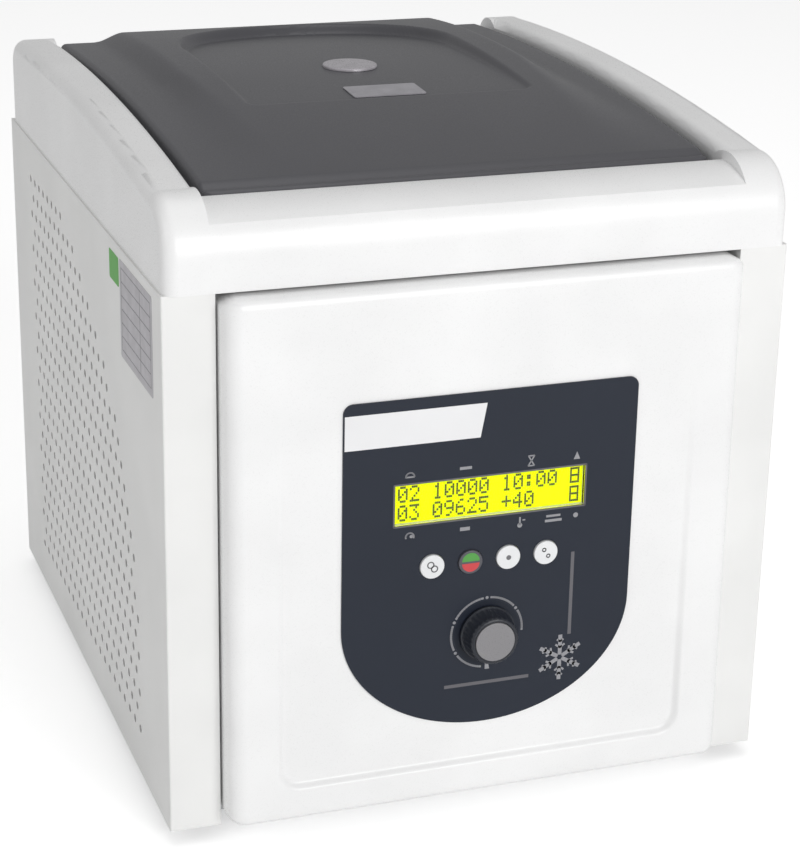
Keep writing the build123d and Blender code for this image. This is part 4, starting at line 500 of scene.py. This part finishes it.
for vertex in skirt(shell, Vector((0, 0, 0))):
    vertex.co.x *= 1 - LID_WALL / lid_half
    vertex.co.y = lid_middle + (vertex.co.y - lid_middle) * (1 - 2 * LID_WALL / (lid_high.y - lid_low.y))
for vertex in skirt(shell, Vector((0, 0, 0))):
    vertex.co.z = LID_CAP_Z
bmesh.ops.holes_fill(shell, edges=[edge for edge in shell.edges if edge.is_boundary])
bmesh.ops.recalc_face_normals(shell, faces=shell.faces)
lid_shell = piece("lid_moulding", shell, lid_grey, "lid", "lid_grey", "lid_shell")
notches = bmesh.new()
bracket_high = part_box("hinge_brackets")[1]
pin_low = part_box("hinge_pins")[0]
for side in (-1, 1):
    ends = sorted((side * NOTCH_IN, side * (bracket_high.x + BRACKET_ROOM)))
    add_block(notches, (ends[0], pin_low.y - PIN_ROOM, lid_low.z - CUT_PAST),
              (ends[1], lid_high.y + CUT_PAST, bracket_high.z + TOP_ROOM))
cut(lid_shell, notches)
sharpen(lid_shell, LID_CREASE)

# Control overlay: a printed polyester film on the front panel. Its prints are a bare white strip along
# the top, a frame round the display, small symbols, a scale round the knob, two lines and a snowflake.
# Places on it are (x, z) pairs.
INK = 0.00004
STROKE_PAST = 0.3
DOT_SIDES = 24
FILM_GLOSS = 0.3
STRIP_OUTLINE = ((-0.0755, 0.2061), (-0.0065, 0.2061), (-0.0034, 0.2236), (-0.0755, 0.2236))
LINE_WIDTH = 0.0018
LINES = (((0.045, 0.0944), (0.045, 0.1392)), ((-0.0216, 0.0738), (0.0233, 0.0738)))
FRAME_GAP, FRAME_WIDTH = 0.0006, 0.0008
DISC_IN, DISC_OUT = 0.0060, 0.0174
DISC_SIDES = 72
SCALE_R, SCALE_WIDTH, SCALE_DOT_R = 0.0189, 0.0011, 0.0008
SCALE_ARCS = ((262, 216), (204, 163), (151, 97), (85, 42), (31, -4))
SCALE_DOTS = (210, 157, 91, 36.5)
POINTER = ((-0.0004, -0.0205), (0.0020, -0.0205), (0.0012, -0.0165), (-0.0004, -0.0165))
FLAKE = (0.0403, 0.0818)
FLAKE_ARM, FLAKE_HEART, FLAKE_WIDTH = 0.0122, 0.0016, 0.0021
TWIG_PLACES, TWIG_LONG, TWIG_SHARE, TWIG_WIDTH, TWIG_LEAN = (0.45, 0.72), 0.0034, 1.3, 0.0011, 55

ink_y = overlay_low.y - INK / 2
overlay_film = textured("overlay_film", (0.016, 0.021, 0.034), 0.36, 0.0004, 0.00002)
wear(overlay_film, "control_overlay")
ink_light = textured("ink_light", (0.30, 0.30, 0.32), 0.4, 0.0005, 0.00001)
ink_dim = textured("ink_dim", (0.125, 0.122, 0.135), 0.4, 0.0005, 0.00001)
ink_white = textured("ink_white", (0.83, 0.83, 0.84), 0.4, 0.0005, 0.00001)
# Painted shade round the foot of the knob: a ring darker than the film.
painted_knob_shade = textured("painted_knob_shade", (0.009, 0.013, 0.024), 0.4, 0.0005, 0.00001)
for dark_film in (overlay_film, painted_knob_shade):
    shader_of(dark_film).inputs["Specular IOR Level"].default_value = FILM_GLOSS


def thicken(mesh, faces, shift):
    """Gives flat faces of a bmesh a thickness."""
    grown = bmesh.ops.extrude_face_region(mesh, geom=faces)["geom"]
    moved = [item for item in grown if isinstance(item, bmesh.types.BMVert)]
    bmesh.ops.translate(mesh, verts=moved, vec=shift)


def ink_stroke(mesh, points, width, plane=ink_y):
    """Prints a line through points of the front plane, each an (x, z) pair."""
    for (x0, z0), (x1, z1) in zip(points, points[1:]):
        long = hypot(x1 - x0, z1 - z0)
        turn = Matrix.Rotation(-atan2(z1 - z0, x1 - x0), 4, "Y")
        place = Matrix.Translation(((x0 + x1) / 2, plane, (z0 + z1) / 2)) @ turn
        stretch = Matrix.Diagonal((long + STROKE_PAST * width, INK, width, 1.0))
        bmesh.ops.create_cube(mesh, size=1.0, matrix=place @ stretch)


def ink_dot(mesh, across, height, radius, plane=ink_y):
    add_round(mesh, (across, plane, height), radius, INK, DOT_SIDES)


def ink_plate(mesh, points, plane=ink_y):
    """Prints a filled shape whose outline goes through points of the front plane."""
    face = mesh.faces.new([mesh.verts.new((x, plane - INK / 2, z)) for x, z in points])
    thicken(mesh, [face], (0, INK, 0))


def arc_of(across, height, radius, start, end, steps=12):
    """Points along an arc, with its angles in degrees from the right."""
    turns = [radians(start + (end - start) * k / steps) for k in range(steps + 1)]
    return [(across + radius * cos(t), height + radius * sin(t)) for t in turns]


def flat_piece(name, mesh, material, body, slot, *replaced):
    """A thin film or print, as a piece with flat faces."""
    bmesh.ops.recalc_face_normals(mesh, faces=mesh.faces)
    made = piece(name, mesh, material, body, slot, *replaced)
    made.data.polygons.foreach_set("use_smooth", [False] * len(made.data.polygons))


strip = bmesh.new()
ink_plate(strip, STRIP_OUTLINE)
flat_piece("overlay_strip", strip, ink_white, "casing", "overlay_film")

marks = bmesh.new()
for line in LINES:
    ink_stroke(marks, line, LINE_WIDTH)
frame_x = window_high.x + FRAME_GAP
frame_low, frame_top = window_low.z - FRAME_GAP, window_high.z + FRAME_GAP
ink_stroke(marks, [(-frame_x, frame_low), (frame_x, frame_low), (frame_x, frame_top), (-frame_x, frame_top),
                   (-frame_x, frame_low)], FRAME_WIDTH)
flat_piece("overlay_lines", marks, ink_dim, "casing", "overlay_film")

# Painted shade round the knob: a ring on the film under and round the knob, darker than the film, inside the
# scale.
disc = bmesh.new()
disc_place = Matrix.Translation((KNOB_X, ink_y - INK / 2, knob_z)) @ Matrix.Rotation(pi / 2, 4, "X")
bmesh.ops.create_circle(disc, segments=DISC_SIDES, radius=DISC_OUT, matrix=disc_place, cap_ends=True)
bmesh.ops.inset_individual(disc, faces=disc.faces[:], thickness=DISC_OUT - DISC_IN)
bmesh.ops.delete(disc, geom=[face for face in disc.faces if len(face.verts) > 4], context="FACES_ONLY")
thicken(disc, disc.faces[:], (0, INK, 0))
flat_piece("knob_shade_disc", disc, painted_knob_shade, "casing", "overlay_film")

symbols = bmesh.new()
for start, end in SCALE_ARCS:
    ink_stroke(symbols, arc_of(KNOB_X, knob_z, SCALE_R, start, end), SCALE_WIDTH)
for turn in SCALE_DOTS:
    mark = arc_of(KNOB_X, knob_z, SCALE_R, turn, turn, 1)[0]
    ink_dot(symbols, mark[0], mark[1], SCALE_DOT_R)
ink_plate(symbols, [(x, knob_z + z) for x, z in POINTER])
# The signs over and under the display, from left to right: strokes with their widths, and dots with
# their radii.
UPPER_Z, LOWER_Z = 0.191, 0.159
SIGN_STROKES = (
    (arc_of(-0.0422, UPPER_Z - 0.0015, 0.0022, 180, 0) + [(-0.0444, UPPER_Z - 0.0015)], 0.0008),
    (((-0.0165, UPPER_Z), (-0.0107, UPPER_Z)), 0.0015),
    (((0.0190, UPPER_Z - 0.0026), (0.0222, UPPER_Z - 0.0026), (0.0190, UPPER_Z + 0.0026),
      (0.0222, UPPER_Z + 0.0026), (0.0190, UPPER_Z - 0.0026)), 0.0007),
    (arc_of(-0.0418, LOWER_Z - 0.0008, 0.0021, 200, -20), 0.0008),
    (((-0.0155, LOWER_Z), (-0.0109, LOWER_Z)), 0.0019),
    (((0.0157, LOWER_Z - 0.0012), (0.0157, LOWER_Z + 0.0026)), 0.0009),
    (((0.0172, LOWER_Z + 0.0010), (0.0184, LOWER_Z + 0.0010)), 0.0007),
    (((0.0299, LOWER_Z + 0.0014), (0.0371, LOWER_Z + 0.0014)), 0.0012),
    (((0.0293, LOWER_Z - 0.0011), (0.0379, LOWER_Z - 0.0011)), 0.0014),
)
SIGN_DOTS = (
    (-0.0410, LOWER_Z - 0.0006, 0.0009), (0.0157, LOWER_Z - 0.0016, 0.0013),
    (0.0455, LOWER_Z + 0.0003, 0.0013),
)
SIGN_PEAK = ((0.0431, UPPER_Z - 0.0018), (0.0465, UPPER_Z - 0.0018), (0.0448, UPPER_Z + 0.0022))
for points, width in SIGN_STROKES:
    ink_stroke(symbols, points, width)
for dot in SIGN_DOTS:
    ink_dot(symbols, *dot)
ink_plate(symbols, SIGN_PEAK)
flat_piece("overlay_symbols", symbols, ink_light, "casing", "overlay_film")


def out_from(place, reach, angle):
    """A point at a reach and an angle from a place."""
    return place[0] + reach * cos(angle), place[1] + reach * sin(angle)


flake = bmesh.new()
for arm in range(6):
    lean = radians(60 * arm + 30)
    ink_stroke(flake, [out_from(FLAKE, FLAKE_HEART, lean), out_from(FLAKE, FLAKE_ARM, lean)], FLAKE_WIDTH)
    for reach in TWIG_PLACES:
        knee = out_from(FLAKE, reach * FLAKE_ARM, lean)
        for turn in (-TWIG_LEAN, TWIG_LEAN):
            tip = out_from(knee, TWIG_LONG * (TWIG_SHARE - reach), lean + radians(turn))
            ink_stroke(flake, [knee, tip], TWIG_WIDTH)
flat_piece("overlay_snowflake", flake, ink_light, "casing", "overlay_film")

# Display: a dot-matrix module behind a clear window, lit yellow-green. Its dark dots show two rows of
# numbers, as a speed, a time and a temperature setting.
DISPLAY_LINES = ("02 10000 10:00 o", "03 09625 +40   o")
CELL_DOTS = 6
CELL_W = 0.0060
CELL_MARGIN = 0.0006
DOT_W, DOT_STEP_X = 0.00095, 0.00100
DOT_H, DOT_STEP_Z = 0.00114, 0.00120
ROW_TOPS = (0.0090, -0.0008)
DIGITS = {
    "0": ".###. #...# #..## #.#.# ##..# #...# .###.", "1": "..#.. .##.. ..#.. ..#.. ..#.. ..#.. .###.",
    "2": ".###. #...# ....# ...#. ..#.. .#... #####", "3": "##### ...#. ..#.. ...#. ....# #...# .###.",
    "4": "...#. ..##. .#.#. #..#. ##### ...#. ...#.", "5": "##### #.... ####. ....# ....# #...# .###.",
    "6": "..##. .#... #.... ####. #...# #...# .###.", "9": ".###. #...# #...# .#### ....# ...#. .##..",
    ":": "..... .##.. .##.. ..... .##.. .##.. .....", "+": "..... ..#.. ..#.. ##### ..#.. ..#.. .....",
    "o": "##### #...# #...# ##### #...# #...# #####",
}
lcd_lit = textured("lcd_lit", (0.40, 0.47, 0.004), 0.5, 0.0006, 0.00002)
for socket, value in (("Specular IOR Level", 0.0), ("Emission Color", (0.86, 0.97, 0.005, 1.0)),
                      ("Emission Strength", 0.62)):
    shader_of(lcd_lit).inputs[socket].default_value = value
wear(lcd_lit, "lcd_module")
lcd_glass = plain("lcd_glass", (1.0, 1.0, 1.0), 0.03)
for socket, value in (("IOR", 1.12), ("Specular IOR Level", 0.1), ("Transmission Weight", 1.0)):
    shader_of(lcd_glass).inputs[socket].default_value = value
wear(lcd_glass, "lcd_window")
module_low, module_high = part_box("lcd_module")
lcd_ink = textured("lcd_ink", (0.05, 0.07, 0.003), 0.5, 0.0005, 0.00001)


def dots_of(text, digits):
    """Column and row of every dot of a text, from its left top corner."""
    return [(CELL_DOTS * cell + column, row) for cell, sign in enumerate(text)
            for row, pattern in enumerate(digits.get(sign, "").split())
            for column, dot in enumerate(pattern) if dot == "#"]


module_middle = (module_low.z + module_high.z) / 2
dots = bmesh.new()
for text, top in zip(DISPLAY_LINES, ROW_TOPS):
    for column, row in dots_of(text, DIGITS):
        cell, dot = divmod(column, CELL_DOTS)
        left = (cell - len(text) / 2) * CELL_W + CELL_MARGIN + dot * DOT_STEP_X
        above = module_middle + top - row * DOT_STEP_Z
        add_block(dots, (left, module_low.y - INK, above - DOT_H), (left + DOT_W, module_low.y, above))
flat_piece("display_dots", dots, lcd_ink, "casing", "lcd_lit")

# Keys: four round caps of white plastic with printed symbols. The second is the start and stop key,
# green above and red below in a grey ring.
KEY_LINE = 0.0006
RINGS_OFF, RING_R = (0.0010, -0.0011), 0.0016
HALF_R, HALF_GAP = 0.0046, 0.0004
KEY_DOT_R = 0.0013
LOOPS = ((-0.0011, 0.0017), (0.0012, -0.0017))
LOOP_R = 0.0009
button_white = textured("button_white", (0.80, 0.81, 0.82), 0.35, 0.0005, 0.00002)
wear(button_white, "button_1", "button_3", "button_4")
key_grey = textured("key_grey", (0.085, 0.085, 0.10), 0.4, 0.0005, 0.00002)
wear(key_grey, "button_2")
key_green = textured("key_green", (0.085, 0.34, 0.062), 0.35, 0.0005, 0.00001)
key_red = textured("key_red", (0.60, 0.055, 0.062), 0.35, 0.0005, 0.00001)
key_ink = textured("key_ink", (0.16, 0.16, 0.17), 0.4, 0.0005, 0.00001)
key_places = []
for number in range(1, 5):
    key_low, key_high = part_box(f"button_{number}")
    key_places.append(((key_low.x + key_high.x) / 2, (key_low.z + key_high.z) / 2))
key_front = key_low.y - INK / 2


def on_key(number, name, material, shape, outlines, *width):
    """Prints shapes on a key. Their outlines are points from the key's middle."""
    mesh = bmesh.new()
    x, z = key_places[number - 1]
    for outline in outlines:
        shape(mesh, [(x + a, z + b) for a, b in outline], *width, plane=key_front)
    flat_piece(name, mesh, material, f"key_{number}", "button_white")


on_key(1, "key_1_rings", key_ink, ink_stroke,
       [arc_of(side * RINGS_OFF[0], side * RINGS_OFF[1], RING_R, 0, 360, 20) for side in (-1, 1)], KEY_LINE)
on_key(2, "key_2_start", key_green, ink_plate, [arc_of(0, HALF_GAP, HALF_R, 2, 178, 24)])
on_key(2, "key_2_stop", key_red, ink_plate, [arc_of(0, -HALF_GAP, HALF_R, 182, 358, 24)])
on_key(3, "key_3_dot", key_ink, ink_plate, [arc_of(0, 0, KEY_DOT_R, 0, 345, 23)])
on_key(4, "key_4_marks", key_ink, ink_stroke,
       [arc_of(*place, LOOP_R, 0, 360, 16) for place in LOOPS], KEY_LINE)

# Speed knob: a black plastic knob with fine flutes on a taper, and a light grey cap pressed into it.
KNOB_FLUTES = 30
KNOB_TURNS = 180
KNOB_GAP = 0.0002
KNOB_CREASE = 50
FLUTED_R = 0.0108
knob_black = textured("knob_black", (0.014, 0.017, 0.025), 0.38, 0.0005, 0.00003)
cap_grey = textured("cap_grey", (0.24, 0.235, 0.245), 0.30, 0.0005, 0.00002)
wear(cap_grey, "knob_cap")
knob_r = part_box("knob")[1].x
knob_back = overlay_low.y - KNOB_GAP
# The outline, as places from the back and radii, and how deep the flutes are at some of its places.
KNOB_OUTLINE = (
    (0.0, knob_r - 0.0004), (0.0004, knob_r), (0.0018, knob_r), (0.0022, knob_r - 0.0006),
    (0.0026, knob_r - 0.0008), (0.0100, knob_r - 0.0016), (0.0110, knob_r - 0.0020),
    (0.0115, knob_r - 0.0026), (0.0118, knob_r - 0.0034), (0.0117, 0.01060), (0.0100, 0.01055),
    (0.0100, 0.0045), (0.0, 0.0045),
)
FLUTE_DEPTHS = {0.0026: 0.0003, 0.0100: 0.0004, 0.0110: 0.0003}
turned = bmesh.new()
outline = [turned.verts.new((KNOB_X + radius, knob_back - from_back, knob_z))
           for from_back, radius in KNOB_OUTLINE]
edges = [turned.edges.new(pair) for pair in zip(outline, outline[1:] + outline[:1])]
bmesh.ops.spin(turned, geom=outline + edges, cent=(KNOB_X, knob_back, knob_z), axis=(0, 1, 0), angle=2 * pi,
               steps=KNOB_TURNS, use_merge=True)
bmesh.ops.remove_doubles(turned, verts=turned.verts, dist=MERGE)
for vertex in turned.verts:
    across, rise = vertex.co.x - KNOB_X, vertex.co.z - knob_z
    radius = hypot(across, rise)
    depth = FLUTE_DEPTHS.get(round(knob_back - vertex.co.y, 4), 0.0) if radius > FLUTED_R else 0.0
    reach = 1 - depth * (0.5 - 0.5 * cos(KNOB_FLUTES * atan2(rise, across))) / radius
    vertex.co.x, vertex.co.z = KNOB_X + across * reach, knob_z + rise * reach
bmesh.ops.recalc_face_normals(turned, faces=turned.faces)
knob = piece("knob_grip", turned, knob_black, "speed_knob", "knob_black", "knob")
sharpen(knob, KNOB_CREASE)

# Side labels: a grey rating label and a small green sticker on the left side, both bare but for the
# lines of an empty form. Each is a thin self-adhesive film with round corners. Places are (y, z) pairs.
FILM = 0.00015
LABEL_LOW, LABEL_HIGH, LABEL_ROUND = (-0.1613, 0.2305), (-0.0949, 0.2807), 0.0015
STICKER_LOW, STICKER_HIGH, STICKER_ROUND = (-0.0925, 0.2650), (-0.0723, 0.2800), 0.0012
FORM_ROWS, FORM_STEP, FORM_LINE = 7, 0.007, 0.0005
FORM_SIDE, FORM_FOOT, FORM_TOP = 0.003, 0.004, 0.0465
FORM_COLUMN = 0.024
label_paint = textured("label_grey", (0.53, 0.515, 0.545), 0.45, 0.0006, 0.00002, contrast=0.12, patch=0.008)
label_line = textured("label_line", (0.22, 0.215, 0.235), 0.5, 0.0006, 0.00001)
sticker_green = textured("sticker_green", (0.095, 0.41, 0.057), 0.45, 0.0006, 0.00002)
side_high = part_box("side_labels")[1]


def side_film(name, low, high, radius, material):
    """A film on the left side between two corners, with its own corners rounded."""
    mesh = bmesh.new()
    outline = []
    near_y, far_y, near_z, far_z = low[0] + radius, high[0] - radius, low[1] + radius, high[1] - radius
    for y, z, turn in ((far_y, far_z, 0), (near_y, far_z, 90), (near_y, near_z, 180), (far_y, near_z, 270)):
        outline += arc_of(y, z, radius, turn, turn + 90, 6)
    face = mesh.faces.new([mesh.verts.new((side_high.x, y, z)) for y, z in outline])
    thicken(mesh, [face], (-FILM, 0, 0))
    flat_piece(name, mesh, material, "casing", "label_grey", "side_labels")


side_film("rating_label", LABEL_LOW, LABEL_HIGH, LABEL_ROUND, label_paint)
side_film("green_sticker", STICKER_LOW, STICKER_HIGH, STICKER_ROUND, sticker_green)
form = bmesh.new()
form_x = side_high.x - FILM
form_left, form_right = LABEL_LOW[0] + FORM_SIDE, LABEL_HIGH[0] - FORM_SIDE
form_foot = LABEL_LOW[1] + FORM_FOOT
for row in range(FORM_ROWS):
    z = form_foot + FORM_STEP * row
    add_block(form, (form_x - INK, form_left, z), (form_x, form_right, z + FORM_LINE))
for y in (form_left, LABEL_LOW[0] + FORM_COLUMN, form_right - FORM_LINE):
    add_block(form, (form_x - INK, y, form_foot), (form_x, y + FORM_LINE, LABEL_LOW[1] + FORM_TOP))
flat_piece("label_form", form, label_line, "casing", "label_grey")

# Badge and plate: two bare stick-on pieces in the sunk panel of the lid. The round badge is domed resin
# and the plate is printed foil.
badge_grey = textured("badge_grey", (0.46, 0.44, 0.47), 0.30, 0.0008, 0.00003, metallic=0.2, contrast=0.15,
                      patch=0.006)
wear(badge_grey, "lid_badge")
plate_grey = textured("plate_grey", (0.40, 0.39, 0.42), 0.38, 0.0008, 0.00003, metallic=0.2, contrast=0.15,
                      patch=0.01)
wear(plate_grey, "lid_plate")

# Under the lid: a flat moulded liner in paler grey closes the lid from below, and holds a soft black seal
# that meets the gasket round the mouth of the chamber.
liner_grey = textured("liner_grey", (0.40, 0.41, 0.42), 0.45, 0.0007, 0.00004)
wear(liner_grey, "lid_liner")
rubber = textured("rubber_black", (0.018, 0.018, 0.018), 0.75, 0.0008, 0.00006)
wear(rubber, "lid_seal", "chamber_gasket", "feet", "motor_mounts", "compressor_mounts")

# Chamber: a spun stainless bowl whose brushing runs round its wall. Its evaporator is a copper tube wound
# round the outside, in poured foam.
stainless = textured("stainless", (0.60, 0.61, 0.62), 0.26, 0.0006, 0.00002, metallic=1.0,
                     stretch=(0.05, 0.05, 1.0))
wear(stainless, "chamber_bowl")
copper = textured("copper", (0.72, 0.34, 0.20), 0.30, 0.002, 0.00002, metallic=1.0)
wear(copper, "evaporator_coil", "refrigerant_lines", "filter_dryer")
foam = textured("foam_cream", (0.72, 0.63, 0.40), 0.9, 0.0012, 0.0003)
wear(foam, "chamber_insulation")

# Rotor: an anodised aluminium turning under a bare hand nut. Each of its twelve slanted wells has its
# number engraved and inked on the flat ring outside it.
WELLS = 12
NUMBER_R = 0.0652
NUMBER_STEP = 0.00055
NUMBER_DOT = 0.9 * NUMBER_STEP
NUMBER_DIGITS = dict(DIGITS, **{
    "7": "##### ....# ...#. ..#.. .#... .#... .#...", "8": ".###. #...# #...# .###. #...# #...# .###.",
})
rotor_coat = textured("rotor_coat", (0.36, 0.38, 0.42), 0.32, 0.0008, 0.00002, metallic=1.0)
wear(rotor_coat, "rotor_body")
number_ink = textured("number_ink", (0.03, 0.03, 0.035), 0.5, 0.0005, 0.00001)
rotor_low, rotor_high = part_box("rotor_body")
rotor_top = Vector(((rotor_low.x + rotor_high.x) / 2, (rotor_low.y + rotor_high.y) / 2, rotor_high.z))
numbers = bmesh.new()
for well in range(WELLS):
    place = Matrix.Translation(rotor_top) @ Matrix.Rotation(2 * pi * well / WELLS, 4, "Z")
    mark = str(well + 1)
    for column, row in dots_of(mark, NUMBER_DIGITS):
        along = (column - 3 * len(mark) + 0.5) * NUMBER_STEP
        out = NUMBER_R + (row - 3) * NUMBER_STEP
        corners = add_block(numbers, (out, along, 0.0), (out + NUMBER_DOT, along + NUMBER_DOT, INK))
        bmesh.ops.transform(numbers, verts=corners, matrix=place)
bmesh.ops.recalc_face_normals(numbers, faces=numbers.faces)
piece("rotor_numbers", numbers, number_ink, "rotor", "rotor_aluminium")

# Frame and lock: zinc plated sheet bent into the base, the subframe and the brackets, with turned steel
# pins, bolt and shaft. Screws with bare heads hold the panels on it.
zinc = textured("zinc_steel", (0.55, 0.56, 0.57), 0.34, 0.0015, 0.00002, metallic=1.0, contrast=0.15)
wear(zinc, "base_pan", "front_subframe", "hinge_brackets", "hinge_leaves", "latch_housing", "lid_striker",
     "chassis_plate", "case_screws", "board_bracket", "power_supply", "hinge_pins", "latch_bolt",
     "drive_shaft", "motor_bearings", "motor_armature", "rotor_nut")

# Cooling and drive: black enamelled motor and compressor, an aluminium condenser with thin fins, black
# plastic fan and inlet, a pale drain hose, and green circuit boards.
fins = textured("fin_aluminium", (0.62, 0.63, 0.64), 0.35, 0.0012, 0.0002, metallic=1.0,
                stretch=(1.0, 0.02, 0.02))
wear(fins, "condenser")
enamel = textured("black_paint", (0.02, 0.02, 0.022), 0.35, 0.001, 0.00004)
wear(enamel, "compressor", "motor_housing", "latch_solenoid")
black_plastic = textured("black_plastic", (0.018, 0.018, 0.018), 0.5, 0.0007, 0.00004)
wear(black_plastic, "fan_shroud", "fan_blades", "power_inlet", "mains_rocker", "encoder_body")
pale_plastic = textured("pale_plastic", (0.68, 0.68, 0.66), 0.45, 0.0007, 0.00004)
wear(pale_plastic, "drain_tube", "drain_spigot")
board_green = textured("board_green", (0.02, 0.15, 0.06), 0.35, 0.001, 0.00003)
wear(board_green, "display_board", "main_board")
